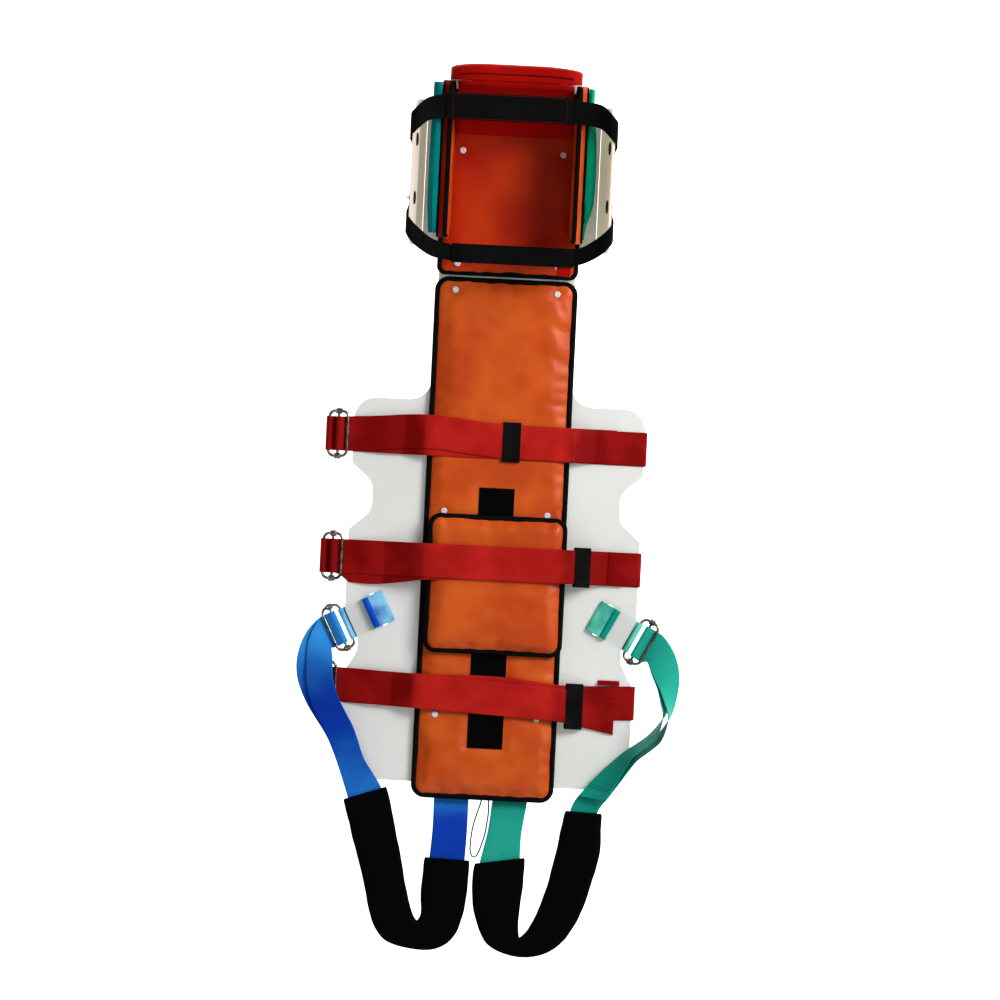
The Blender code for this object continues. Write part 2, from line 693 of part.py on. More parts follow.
def wing_normal(side):
    lean = math.radians(WING_LEAN)
    return Vector((side * math.cos(lean), 0, -math.sin(lean)))


def wing_rivet(name, side, station, up):
    """Nylon rivet through wing and strap tail: washer inside, stem end outside."""
    half = BOARD_T / 2
    outer = half + GAP + WEB_T + 2 * GAP
    inner = -half - GAP
    profile = [(0, outer + 5), (1.4, outer + 5), (RIVET_SHANK_R, outer + 2.2), (RIVET_HEAD_R, outer + 1.6),
               (RIVET_HEAD_R, outer), (RIVET_SHANK_R, outer), (RIVET_SHANK_R, inner),
               (WASHER_R, inner), (WASHER_R, inner - WASHER_T / 2), (WASHER_R - 2, inner - WASHER_T),
               (0, inner - WASHER_T)]
    obj = turned(name, profile, wing_point(side, station, up, 0), NYLON_MAT, 10)
    obj.rotation_mode = "QUATERNION"
    obj.rotation_quaternion = Vector((0, 0, 1)).rotation_difference(wing_normal(side))
    return obj


def head_straps(wings):
    top = HINGE_Z + WING_H * math.cos(math.radians(WING_LEAN))
    edge = WING_HINGE_X + WING_H * math.sin(math.radians(WING_LEAN))
    rest = {"left": (-1, -FOREHEAD_PAD[0] + GAP, -CHIN_PAD[0] + GAP),
            "right": (1, FOREHEAD_PAD[1] + GAP, CHIN_PAD[1] + GAP)}
    for label, (side, forehead_x, chin_x) in rest.items():
        forehead = [(forehead_x, 651, 617, FOREHEAD_Z, 0), (127, 646, 611, FOREHEAD_Z + 8, 0),
                    (edge - 5, 634, 598, top + 1.5, 0), (edge - 0.5, 629, 593, top + 3, 0),
                    (edge + 2.5, 626, 590, top + 2.6, 0), (edge + 5, 621, 585, top - 1, 0),
                    (None, 612, 577, top - 8, TAIL_OFFSET), (None, 592, 558, top - 40, TAIL_OFFSET)]
        chin = [(chin_x, 431, 407, CHIN_Z, 0), (112, 438, 412, CHIN_Z + 6, 0), (132, 452, 423, CHIN_Z + 17, 0),
                (edge - 5, 461, 431, top + 1.5, 0), (edge - 0.5, 466, 436, top + 3, 0),
                (edge + 2.5, 470, 440, top + 2.6, 0), (edge + 5, 476, 446, top - 1, 0),
                (None, 486, 456, top - 8, TAIL_OFFSET), (None, 526, 496, top - 30, TAIL_OFFSET)]
        hole = head_strap(f"forehead_strap_{label}", side, forehead, (FOREHEAD_RIVET, RIVET_UP))
        cut(wings[side], hole, "forehead_rivet")
        hole = head_strap(f"chin_strap_{label}", side, chin, (CHIN_RIVET, RIVET_UP))
        cut(wings[side], hole, "chin_rivet")
        wing_rivet(f"wing_rivet_{label}_1", side, FOREHEAD_RIVET, RIVET_UP)
        wing_rivet(f"wing_rivet_{label}_2", side, CHIN_RIVET, RIVET_UP)
    for name, (x0, x1, v0, v1), z, thick in (("forehead_pad", FOREHEAD_PAD, FOREHEAD_Z, FOREHEAD_PAD_T),
                                             ("chin_pad", CHIN_PAD, CHIN_Z, CHIN_PAD_T)):
        outline = rounded_box(x0, x1, y_of(v0), y_of(v1), 3, 2)
        slab(name, [outline], z - thick / 2, z + thick / 2, HOOK_MAT)


# ---- torso straps ----
def red_frame(station):
    return Frame((RED_RING_X, y_of(station)), 0.0)


def strap_profile(crown, ramp_left, ramp_right, tail_x):
    """Lower and upper layer of a torso strap as (x, z) paths, from behind the board to the tail."""
    edge = BOARD_HALF + GAP + WEB_T / 2 + 1.2
    behind = WEB_T / 2
    over = crown + KEEPER_T + 2 * KEEPER_CLEAR + WEB_T / 2
    left, right = ramp_left, ramp_right
    lower = [(-160, behind, 0), (edge, behind, 2.6), (edge, LOWER_Z, 2.6), (right[1], LOWER_Z, 12),
             (right[0], over, 10), (left[0], over, 10), (left[1], LOWER_Z, 12),
             (RED_RING_X + BAR_AT, LOWER_Z, 0)]
    upper = [(RED_RING_X + RING_PITCH - 3.2, UPPER_Z, 0), (left[1], UPPER_Z, 12), (left[0], over + LAYER, 10),
             (right[0] + 1.2, over + LAYER, 10), (right[1] + 1.2, UPPER_Z, 12), (tail_x, UPPER_Z, 0)]
    if tail_x < right[1]:
        upper = upper[:4] + [(tail_x, UPPER_Z + (over + LAYER - UPPER_Z) * (right[1] - tail_x)
                              / (right[1] - right[0]), 0)]
    return lower, upper


def torso_strap(number, station, crown, left, right, tail_x, lower_v, upper_v):
    """One red strap: anchor loop, ring, slide bar, webbing through them and a keeper."""
    frame = red_frame(station)
    ring(f"torso_ring_{number}", frame)
    slide_bar(f"torso_bar_{number}", frame)
    # the anchor loop comes from under the board, round the ring's outer wire, and is sewn to itself
    loop = bend_path([(88, WEB_T / 2, 0), (20, WEB_T / 2, 20), (10, 2.4, 20), (3, 4.7, 20),
                      (0, RING_NEAR_Z - LOOP_R, 0)], 2)[:-1]
    loop += wire_loop(-100, -260)
    loop += bend_path([(5.5, 6.9, 0), (9, 5.2, 0), (14, 3.6, 10), (24, 3.0, 0)], 2)
    ribbon(f"torso_anchor_{number}", frame.across(loop), RED_MAT)
    lower, upper = strap_profile(crown, left, right, tail_x)
    edges = []
    for x, z in bend_path(lower):
        y = y_of(lower_v(x))
        edges.append(((x, y + WEB_W / 2, z), (x, y - WEB_W / 2, z)))
    edges = edges[:-1] + [(a, b) for a, b in frame.across(bar_wrap())]
    for x, z in bend_path(upper):
        y = y_of(upper_v(x))
        edges.append(((x, y + WEB_W / 2, z), (x, y - WEB_W / 2, z)))
    ribbon(f"torso_strap_{number}", edges, RED_MAT)


def keeper(number, x, z, angle, station, tilt, spare):
    """Black band round both webbing layers: a flat tube about the strap's own direction."""
    half_in = WEB_W / 2 + spare
    low, high = -WEB_T / 2 - KEEPER_CLEAR, LAYER + WEB_T / 2 + KEEPER_CLEAR
    inner = [(-half_in, low), (half_in, low), (half_in, high), (-half_in, high)]
    t = KEEPER_T
    outer = [(-half_in - t, low - t), (half_in + t, low - t), (half_in + t, high + t), (-half_in - t, high + t)]
    along = Vector((math.cos(angle) * math.cos(tilt), math.cos(angle) * math.sin(tilt), math.sin(angle)))
    across = Vector((-math.sin(tilt), math.cos(tilt), 0))
    normal = along.cross(across)
    centre = Vector((x, y_of(station), z))
    points = []
    for end in (-KEEPER_W / 2, KEEPER_W / 2):
        for outline in (outer, inner):
            points += [centre + along * end + across * s + normal * h for s, h in outline]
    faces = []
    for i in range(4):
        n = (i + 1) % 4
        faces += [(i, n, 8 + n, 8 + i), (4 + i, 12 + i, 12 + n, 4 + n), (i, 4 + i, 4 + n, n),
                  (8 + i, 8 + n, 12 + n, 12 + i)]
    mesh_object(f"strap_keeper_{number}", points, faces, HOOK_MAT)


def lower_sag(x):
    """Station of the foot-end strap's lower layer, which dips towards the right of the pad."""
    return -223 - 0.041 * (x + BOARD_HALF) if x < SAG_X else SAG_V + 0.05 * (x - SAG_X)


def upper_sag(x):
    """Station of its upper layer, whose free end hangs off at an angle."""
    return lower_sag(x) if x < SAG_X else SAG_V - 0.19 * (x - SAG_X)


def torso_straps():
    pad_edge = TORSO_PAD_HALF
    torso_strap(1, 145.5, PAD_TOP, (-pad_edge - 4, -pad_edge - 34), (pad_edge + 4, pad_edge + 34), 173,
                lambda x: 144.0 - 0.004 * x, lambda x: 145.0 - 0.004 * x)
    torso_strap(2, -34.5, LUMBAR_TOP, (LUMBAR_X[0] - 6, LUMBAR_X[0] - 62), (LUMBAR_X[1] + 6, LUMBAR_X[1] + 58),
                192, lambda x: -34.5, lambda x: -34.5)
    torso_strap(3, -223.0, STRIP_TOP, (-pad_edge - 4, -pad_edge - 36), (pad_edge + 4, pad_edge + 44), 188,
                lower_sag, upper_sag)


def keepers():
    rise = KEEPER_T + 2 * KEEPER_CLEAR + WEB_T / 2
    keeper(1, 18.5, PAD_TOP + rise, 0.0, 144.5, 0.0, 3.2)
    run, drop = 52.0, LUMBAR_TOP + rise - LOWER_Z
    keeper(2, 130.0, LOWER_Z + drop * (run + LUMBAR_X[1] + 6 - 130.0) / run, -math.atan2(drop, run), -34.5, 0.0,
           3.2)
    run, drop = 40.0, STRIP_TOP + rise - LOWER_Z
    keeper(3, 128.0, LOWER_Z + drop * (run + TORSO_PAD_HALF + 4 - 128.0) / run, -math.atan2(drop, run), -239.0,
           0.0, 7.5)


# ---- leg straps ----
def leg_frame(side):
    """Frame at a leg slot, with p pointing out from the board and downwards."""
    angle = math.radians(LEG_ANGLE)
    direction = math.pi + angle if side < 0 else -angle
    return Frame((side * LEG_ANCHOR[0], y_of(LEG_ANCHOR[1])), direction)


def leg_ring_frame(side):
    slot = leg_frame(side)
    frame = Frame((0, 0), math.atan2(slot.pull.y, slot.pull.x))
    frame.origin = slot.at(LEG_RING_U, 0, 0)
    return frame


def leg_anchor(name, side, mat):
    """Short webbing: folded stop on the front face, down the slot, under the board, round the ring."""
    slot = leg_frame(side)
    top = BOARD_TOP + GAP + WEB_T / 2 + 0.2
    behind = WEB_T / 2
    fold = [(-5, 0), (-11, 0), (-14, 0.6), (-15, 2.2), (-13.8, 3.8), (-11, 4.6), (12, 4.6), (15.6, 3.6),
            (16.6, 2), (15.4, 0.5), (12, 0)]
    path = [Vector((p, top + z)) for p, z in fold]
    path += bend_path([(10, top, 0), (0.2, top, 3.2), (-0.2, behind, 2.6), (LEG_RING_U - 1, behind, 3),
                       (LEG_RING_U + 2.2, RING_NEAR_Z - 2.65, 0)], 3)[:-1]
    path += wire_loop(-50, 240, LEG_RING_U)
    ribbon(name, slot.across(path, ANCHOR_W), mat)


def smooth_pairs(pairs, steps):
    """Catmull-Rom curves through both edges of a list of (edge, edge) point pairs at once."""
    rows = [[*a, *b] for a, b in pairs]
    ends = [[2 * a - b for a, b in zip(rows[0], rows[1])]] + rows
    ends.append([2 * a - b for a, b in zip(rows[-1], rows[-2])])
    curve = []
    for i in range(1, len(ends) - 2):
        for k in range(steps):
            t = k / steps
            curve.append([0.5 * (2 * b + (c - a) * t + (2 * a - 5 * b + 4 * c - d) * t ** 2
                                 + (3 * b - a - 3 * c + d) * t ** 3) for a, b, c, d in zip(*ends[i - 1:i + 3])])
    curve.append(rows[-1])
    return [(row[:3], row[3:]) for row in curve]


def inset(pairs, distance):
    """Both edges of every pair moved towards each other."""
    moved = []
    for a, b in pairs:
        a, b = Vector(a), Vector(b)
        step = (b - a).normalized() * distance
        moved.append((a + step, b - step))
    return moved


def beside(pairs, distances):
    """A second layer: each pair moved along the webbing's own normal."""
    middles = [(Vector(a) + Vector(b)) / 2 for a, b in pairs]
    last = len(pairs) - 1
    moved = []
    for i, ((a, b), distance) in enumerate(zip(pairs, distances)):
        tangent = middles[min(i + 1, last)] - middles[max(i - 1, 0)]
        normal = tangent.cross(Vector(b) - Vector(a)).normalized() * distance
        moved.append((Vector(a) + normal, Vector(b) + normal))
    return moved


def placed(side, pairs):
    """(x outwards, station, z) pairs in the model's own axes."""
    return [tuple((side * (x + LEG_REACH), y_of(v), z) for x, v, z in pair) for pair in pairs]


def at_height(flat_pairs, z):
    return [((*a, z), (*b, z)) for a, b in flat_pairs]


def leg_strap(name, side, rear, front, turn, foot, mat):
    """Leg webbing: free end, rear layer, round the slide bar, front layer, sleeve turn and foot end.

    Each list holds (first edge, second edge) pairs; the first edge starts on the outer side.
    """
    frame = leg_ring_frame(side)
    outer = side * WEB_W / 2
    wrap = [(p, z) for p, z in [(RING_PITCH + 3, LOWER_Z)] + bar_wrap()
            + [(RING_PITCH - 3.2, UPPER_Z), (RING_PITCH + 3, UPPER_Z)]]
    wrap = [(frame.at(p, outer, z), frame.at(p, -outer, z)) for p, z in wrap]
    lower = smooth_pairs(placed(side, rear) + wrap[:1], 2)
    upper = smooth_pairs(wrap[-1:] + placed(side, front) + placed(side, turn) + placed(side, foot), 2)
    ribbon(name, lower[:-1] + wrap[:-1] + upper, mat)


def sleeve(name, side, pairs):
    """Padded tube round the webbing: a flat rounded section with a slot through it."""
    half = SLEEVE_T / 2
    stations = [(Vector(a), Vector(b)) for a, b in smooth_pairs(placed(side, pairs), 2)]
    skin = [(0, -0.4), (0.08, -1), (0.92, -1), (1, -0.4), (1, 0.4), (0.92, 1), (0.08, 1), (0, 0.4)]
    slot = [(0, -1), (1, -1), (1, 1), (0, 1)]
    up = Vector((0, 0, 1))
    points = []
    for a, b in stations:
        step = (b - a).normalized() * SLEEVE_WALL
        points += [a.lerp(b, e) + up * (h * half) for e, h in skin]
        points += [(a + step).lerp(b - step, e) + up * (h * SLOT_HALF) for e, h in slot]
    count = len(skin) + len(slot)
    n_skin, n_slot = len(skin), len(slot)
    faces = []
    for i in range(len(stations) - 1):
        for start, size in ((0, n_skin), (n_skin, n_slot)):
            for k in range(size):
                n = (k + 1) % size
                low = count * i + start
                faces.append((low + k, low + n, low + count + n, low + count + k))
    for base in (0, count * (len(stations) - 1)):
        s, h = base, base + n_skin
        faces += [(s, s + 1, h), (s + 1, s + 2, h + 1, h), (s + 2, s + 3, h + 1), (s + 3, s + 4, h + 2, h + 1),
                  (s + 4, s + 5, h + 2), (s + 5, s + 6, h + 3, h + 2), (s + 6, s + 7, h + 3),
                  (s + 7, s, h, h + 3)]
    mesh_object(name, points, faces, SLEEVE_MAT)


# sleeve turns as (outer edge, inner edge) pairs of (x outwards, station)
LEFT_TURN = [((203, -393), (140, -371)), ((190, -437), (128, -417)), ((177, -480), (116, -462)),
             ((163, -530), (106, -510)), ((152, -570), (98, -540)), ((131, -597), (91, -558)),
             ((95, -606), (87, -564)), ((57, -606), (84, -562)), ((29, -583), (81, -550)),
             ((16, -535), (83, -518)), ((13, -474), (80, -472))]
RIGHT_TURN = [((178, -396), (123, -394)), ((178, -447), (115, -440)), ((168, -495), (105, -490)),
              ((153, -545), (93, -535)), ((130, -584), (80, -564)), ((98, -607), (70, -578)),
              ((55, -611), (65, -582)), ((16, -592), (63, -568)), ((-3, -548), (65, -530)),
              ((-8, -506), (68, -500)), ((-6, -478), (68, -466))]
LEFT_FRONT = [((256, -136, 11), (231, -170, 12)), ((266, -162, 17), (229, -184, 27)),
              ((267, -195, 22), (228, -200, 37)), ((265, -222, 23), (225, -222, 38)),
              ((257, -252, 23), (214, -249, 36)), ((238, -287, 21), (194, -285, 28)),
              ((217, -333, 15), (175, -331, 18))]
LEFT_REAR = [((216, -330, 9.5), (182, -314, 9.8)), ((236, -294, 14.5), (197, -278, 14)),
             ((262, -256, 18.4), (221, -246, 18.6)), ((279, -218, 17.5), (238, -218, 17.7)),
             ((281, -185, 17), (240, -196, 18)), ((273, -156, 12), (238, -184, 16.5)),
             ((262, -138, 7.5), (235, -172, 8))]
RIGHT_FRONT = [((258, -132, 11), (233, -168, 12)), ((274, -156, 14), (240, -184, 22)),
               ((282, -188, 18), (252, -205, 36)), ((279, -222, 22), (262, -228, 52)),
               ((270, -250, 20), (268, -251, 62)), ((246, -282, 14), (258, -286, 54)),
               ((214, -306, 12), (226, -314, 48)), ((178, -334, 12), (204, -345, 34)),
               ((143, -368, 11), (184, -374, 16))]
REAR_GAPS = (4, 6, 6, 7, 8, 9, 9, 7, 6)


def leg_straps():
    left_foot = [((19, -430, 5), (70, -430, 5)), ((19, -392, 1.6), (70, -392, 1.6)),
                 ((19, -364, 0.85), (70, -364, 0.85)), ((19, -300, 0.85), (70, -300, 0.85))]
    right_foot = [((61, -430, 5), (11, -430, 5)), ((66, -392, 1.6), (15, -392, 1.6)),
                  ((68, -364, 0.85), (17, -364, 0.85)), ((70, -300, 0.85), (19, -300, 0.85))]
    left = at_height(LEFT_TURN, SLEEVE_Z)
    right = at_height(RIGHT_TURN, SLEEVE_Z)
    room = SLEEVE_WALL + 1.5
    leg_strap("leg_strap_left", -1, LEFT_REAR, LEFT_FRONT, inset(left, room), left_foot, BLUE_MAT)
    rear = beside(RIGHT_FRONT, REAR_GAPS)
    swapped = [(b, a) for a, b in inset(right, room)]
    leg_strap("leg_strap_right", 1, rear[::-1], RIGHT_FRONT, swapped, right_foot, GREEN_MAT)
    sleeve("leg_sleeve_left", -1, left)
    sleeve("leg_sleeve_right", 1, right)


def tether(name, route):
    """Thin cord through its own points: a loop from the board's foot down to the sleeves and back."""
    curve = bpy.data.curves.new(name, "CURVE")
    curve.dimensions = "3D"
    curve.bevel_depth = CORD_R * MM
    curve.bevel_resolution = 2
    curve.use_fill_caps = True
    points = smooth_path([(x, y_of(v), z) for x, v, z in route], 3)
    spline = curve.splines.new("POLY")
    spline.points.add(len(points) - 1)
    for point, place in zip(spline.points, points):
        point.co = (*(place * MM), 1)
    link(bpy.data.objects.new(name, curve), CORD_MAT)


TETHER = [(2, BOARD_FOOT - 0.4, 3.4), (1, -372, 2.6), (-1, -387, 1.6), (-6, -404, 1.2), (-11, -424, 1.2),
          (-13, -444, 1.2), (-13, -458, 1.2), (-10, -466, 1.3), (-5.5, -467, 1.4), (-1, -460, 1.3),
          (3, -448, 1.2), (7, -434, 1.2), (9.5, -416, 1.2), (11, -400, 1.2), (10.5, -384, 1.6),
          (9, -370, 2.6), (8, BOARD_FOOT - 0.4, 3.4)]

if __name__ == "__main__":
    wings = {-1: head_wing("head_wing_left", -1), 1: head_wing("head_wing_right", 1)}
    board = torso_board()
    torso = torso_pad()
    lumbar_outline = rounded_box(*LUMBAR_X, y_of(LUMBAR_SPAN[0]), y_of(LUMBAR_SPAN[1]), LUMBAR_CORNER, 4)
    pad_cover("lumbar_pad_cover", lumbar_outline, LUMBAR_Z0, LUMBAR_TOP, VINYL_MAT)
    head_outline = rounded_box(-HEAD_PAD_HALF, HEAD_PAD_HALF, y_of(HEAD_PAD_SPAN[0]), y_of(HEAD_PAD_SPAN[1]),
                               HEAD_PAD_CORNER, 4)
    head = [pad_cover("head_pad_cover", head_outline, PAD_Z0, PAD_TOP, VINYL_MAT)]
    slab("loop_strip", [rounded_box(STRIP_X[0], STRIP_X[1], y_of(STRIP_SPAN[0]), y_of(STRIP_SPAN[1]), 2, 2)],
         STRIP_Z0, STRIP_TOP, HOOK_MAT)
    drilled = [(board, BOARD_FOOT, HEAD_END)]
    drilled += [(piece, TORSO_PAD_FOOT, TORSO_PAD_HEAD) for piece in torso]
    drilled += [(piece, *HEAD_PAD_SPAN) for piece in head]
    pad_rivets(drilled)
    head_roll()
    side_pad("left", -1, FOAM_MAT)
    side_pad("right", 1, GREEN_FOAM_MAT)
    head_straps(wings)
    torso_straps()
    keepers()
    leg_anchor("leg_anchor_left", -1, BLUE_MAT)
    leg_anchor("leg_anchor_right", 1, GREEN_MAT)
    for label, side in (("left", -1), ("right", 1)):
        ring(f"leg_ring_{label}", leg_ring_frame(side))
        slide_bar(f"leg_bar_{label}", leg_ring_frame(side))
    leg_straps()
    tether("foot_tether", TETHER)
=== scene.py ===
"""Looks of a short spine board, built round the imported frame.

Lengths below are in millimetres and become metres when a mesh is made (MM).
"""
import json
import math

import bmesh
import bpy
import numpy as np
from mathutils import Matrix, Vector, noise


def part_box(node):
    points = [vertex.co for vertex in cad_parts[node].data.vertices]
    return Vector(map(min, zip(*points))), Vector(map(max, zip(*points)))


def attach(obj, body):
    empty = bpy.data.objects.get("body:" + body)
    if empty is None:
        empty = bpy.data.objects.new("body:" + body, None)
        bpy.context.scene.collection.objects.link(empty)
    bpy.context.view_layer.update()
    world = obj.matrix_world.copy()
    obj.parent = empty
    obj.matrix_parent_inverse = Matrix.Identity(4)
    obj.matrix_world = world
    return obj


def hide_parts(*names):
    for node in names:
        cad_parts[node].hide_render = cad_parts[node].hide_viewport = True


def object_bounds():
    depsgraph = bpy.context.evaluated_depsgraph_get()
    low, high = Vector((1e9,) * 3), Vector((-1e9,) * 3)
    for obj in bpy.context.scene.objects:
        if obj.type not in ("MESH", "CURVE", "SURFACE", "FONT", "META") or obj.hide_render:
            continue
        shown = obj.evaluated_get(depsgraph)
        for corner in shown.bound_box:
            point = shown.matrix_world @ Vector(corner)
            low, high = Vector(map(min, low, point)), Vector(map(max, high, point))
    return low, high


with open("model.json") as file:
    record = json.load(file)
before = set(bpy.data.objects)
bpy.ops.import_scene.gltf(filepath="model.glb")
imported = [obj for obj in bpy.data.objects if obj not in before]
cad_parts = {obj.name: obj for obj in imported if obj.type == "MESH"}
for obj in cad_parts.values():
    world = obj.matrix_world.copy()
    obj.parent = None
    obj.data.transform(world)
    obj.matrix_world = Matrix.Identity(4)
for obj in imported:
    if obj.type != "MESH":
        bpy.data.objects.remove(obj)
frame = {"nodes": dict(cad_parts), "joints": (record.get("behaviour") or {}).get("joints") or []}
CAD_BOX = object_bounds()

MM = 0.001
WEB_T = 1.5               # webbing thickness
TAPE_W = 8.0              # width of the edge binding
WIRE_R = 2.2              # buckle ring wire
RING_LONG = 71.0
RING_PITCH = 27.6
RING_CORNER = 9.0
RIVET_R = 4.8
SIM_FRAMES = 20

# colours in linear light
ORANGE = (0.66, 0.125, 0.012)
ORANGE_DEEP = (0.52, 0.07, 0.005)
# dark red of the head roll and chin flap: painted shade of the orange vinyl
ROLL_RED_PAINTED_SHADE = (0.47, 0.005, 0.0012)
RED = (0.62, 0.026, 0.019)
RED_DARK = (0.24, 0.0015, 0.0015)
BLUE = (0.06, 0.43, 0.88)
BLUE_DARK = (0.001, 0.06, 0.46)
GREEN = (0.03, 0.45, 0.35)
GREEN_DARK = (0.001, 0.26, 0.195)
ANCHOR_BLUE = (0.36, 0.82, 1.0)
ANCHOR_GREEN = (0.22, 0.74, 0.60)
# head pad: the orange vinyl made redder and darker, painted shade of the head box
HEAD_ORANGE_PAINTED_SHADE = (0.56, 0.06, 0.003)
HEAD_DEEP_PAINTED_SHADE = (0.36, 0.010, 0.001)
BLACK = (0.0012, 0.0012, 0.0015)
CHARCOAL = (0.0055, 0.006, 0.0065)
TEAL = (0.0, 0.21, 0.20)
FOAM_GREEN = (0.0, 0.33, 0.185)
PLASTIC = (0.80, 0.80, 0.77)
NYLON = (0.80, 0.74, 0.78)
STEEL = (0.34, 0.30, 0.26)
# colour of the painted glow on the wings
PAINTED_GLOW_BEIGE = (0.52, 0.40, 0.31)


# ---- materials ----
class Recipe:
    """A Principled material whose pattern nodes are added one by one."""

    def __init__(self, name, colour, roughness, **fixed):
        self.mat = bpy.data.materials.new(name)
        self.mat.use_nodes = True
        self.mat.diffuse_color = (*colour, 1)
        self.tree = self.mat.node_tree
        self.shader = self.tree.nodes["Principled BSDF"]
        self.shader.inputs["Base Color"].default_value = (*colour, 1)
        self.shader.inputs["Roughness"].default_value = roughness
        for socket, value in fixed.items():
            self.shader.inputs[socket.replace("_", " ")].default_value = value
        self.heights = []

    def node(self, kind, **settings):
        made = self.tree.nodes.new(kind)
        for key, value in settings.items():
            setattr(made, key, value)
        return made

    def join(self, source, target):
        self.tree.links.new(source, target)

    def place(self):
        """Object coordinates, which are metres in the frame."""
        return self.node("ShaderNodeTexCoord").outputs["Object"]

    def strand(self):
        """Coordinates along and across a strip, in metres."""
        return self.node("ShaderNodeAttribute", attribute_name="strand").outputs["Vector"]

    def parts(self, vector):
        """X, Y and Z of a vector."""
        made = self.node("ShaderNodeSeparateXYZ")
        self.join(vector, made.inputs[0])
        return made.outputs

    def noise(self, scale, detail=3.0, vector=None, rough=0.5):
        made = self.node("ShaderNodeTexNoise")
        made.inputs["Scale"].default_value = scale
        made.inputs["Detail"].default_value = detail
        made.inputs["Roughness"].default_value = rough
        self.join(vector or self.place(), made.inputs["Vector"])
        return made.outputs["Fac"]

    def cells(self, scale, feature="F1"):
        made = self.node("ShaderNodeTexVoronoi", feature=feature)
        made.inputs["Scale"].default_value = scale
        self.join(self.place(), made.inputs["Vector"])
        return made.outputs["Distance"]

    def math(self, operation, a, b=None, clamp=False):
        made = self.node("ShaderNodeMath", operation=operation, use_clamp=clamp)
        for socket, value in zip(made.inputs, (a, b)):
            if value is None:
                continue
            if isinstance(value, (int, float)):
                socket.default_value = value
            else:
                self.join(value, socket)
        return made.outputs[0]

    def ramp(self, value, low, high, out_low=0.0, out_high=1.0):
        made = self.node("ShaderNodeMapRange")
        for socket, number in zip(list(made.inputs)[1:5], (low, high, out_low, out_high)):
            socket.default_value = number
        self.join(value, made.inputs[0])
        return made.outputs[0]

    def mix(self, factor, first, second):
        made = self.node("ShaderNodeMix", data_type="RGBA")
        self.join(factor, made.inputs["Factor"])
        for socket, colour in ((made.inputs["A"], first), (made.inputs["B"], second)):
            if isinstance(colour, tuple):
                socket.default_value = (*colour, 1)
            else:
                self.join(colour, socket)
        return made.outputs["Result"]

    def colour(self, source):
        self.join(source, self.shader.inputs["Base Color"])

    def roughness(self, source):
        self.join(source, self.shader.inputs["Roughness"])

    def bump(self, height, depth, strength=1.0):
        made = self.node("ShaderNodeBump")
        made.inputs["Strength"].default_value = strength
        made.inputs["Distance"].default_value = depth * MM
        self.join(height, made.inputs["Height"])
        if self.heights:
            self.join(self.heights[-1], made.inputs["Normal"])
        self.heights.append(made.outputs["Normal"])
        self.join(made.outputs["Normal"], self.shader.inputs["Normal"])


def vinyl(name, light, deep, roughness=0.42, gloss=0.3, blotches=14, painted_light_below=None):
    """Coated vinyl: fine grain, slight mottling, a soft coat; painted light, a paler tone, below a given y when one is
    given.
    """
    made = Recipe(name, light, roughness, Coat_Weight=gloss / 5, Coat_Roughness=0.35, Specular_IOR_Level=gloss)
    mottle_and_painted_light = made.ramp(made.noise(blotches, 2), 0.36, 0.66)
    speck = made.ramp(made.noise(900, 2), 0.3, 0.7, 0.0, 0.22)
    # painted light: below the given y the mottle is pushed towards the light colour
    if painted_light_below:
        height = made.parts(made.place())["Y"]
        mottle_and_painted_light = made.math("ADD", mottle_and_painted_light, made.ramp(height, (painted_light_below - 22) * MM, painted_light_below * MM, -0.9, 0.0))
    made.colour(made.mix(made.math("ADD", mottle_and_painted_light, speck, clamp=True), light, deep))
    made.roughness(made.ramp(made.noise(60, 3), 0.3, 0.7, roughness - 0.06, roughness + 0.1))
    made.bump(made.noise(40, 3), 0.5, 0.35)
    made.bump(made.cells(1100), 0.12, 0.5)
    return made.mat


def weave(name, light, dark, along=2.4, across=1.9, depth=0.3, roughness=0.62, clouds=(22, 0.45), rib_tone=0.3,
          painted_shade_from=None, painted_light_bands=()):
    """Woven tape: ribs across the strip, broken into columns, paler in places, with painted shade beyond a given
    distance from the middle in x.

    Each painted light band is (y where it starts, y where it is full, painted shade added, which is painted light where
    it is below zero).
    """
    made = Recipe(name, light, roughness, Specular_IOR_Level=0.12)
    strand = made.parts(made.strand())
    column = made.math("MULTIPLY", strand["Y"], 2 * math.pi / (across * MM))
    rib = made.math("MULTIPLY", strand["X"], 2 * math.pi / (along * MM))
    shifted = made.math("ADD", rib, made.math("MULTIPLY", made.math("SINE", column), 1.1))
    ribs = made.math("SINE", shifted)
    columns = made.math("SINE", column)
    cloth = made.math("ADD", made.math("MULTIPLY", ribs, 0.65), made.math("MULTIPLY", columns, 0.35))
    tone = made.ramp(cloth, -1.0, 1.0, 0.2 + rib_tone, 0.2 - rib_tone)
    cloud = made.ramp(made.noise(clouds[0], 2), 0.38, 0.62, 0.0, clouds[1])
    # painted shade: the tape is darker further out than the given x, where the strap slopes away from the light
    if painted_shade_from:
        reach = made.math("ABSOLUTE", made.parts(made.place())["X"])
        cloud = made.math("ADD", cloud, made.ramp(reach, painted_shade_from * MM, (painted_shade_from + 28) * MM, 0.0, 0.6))
    # painted shade and painted light: bands along y darken the tape, or make it paler where the amount is below zero
    for start, full, shade in painted_light_bands:
        low, high, first, last = (start, full, 0.0, shade) if start < full else (full, start, shade, 0.0)
        band = made.ramp(made.parts(made.place())["Y"], low * MM, high * MM, first, last)
        cloud = made.math("ADD", cloud, band)
    made.colour(made.mix(made.math("ADD", tone, cloud, clamp=True), light, dark))
    made.bump(made.noise(150, 2), 0.25, 0.4)
    made.bump(cloth, depth, 0.8)
    return made.mat


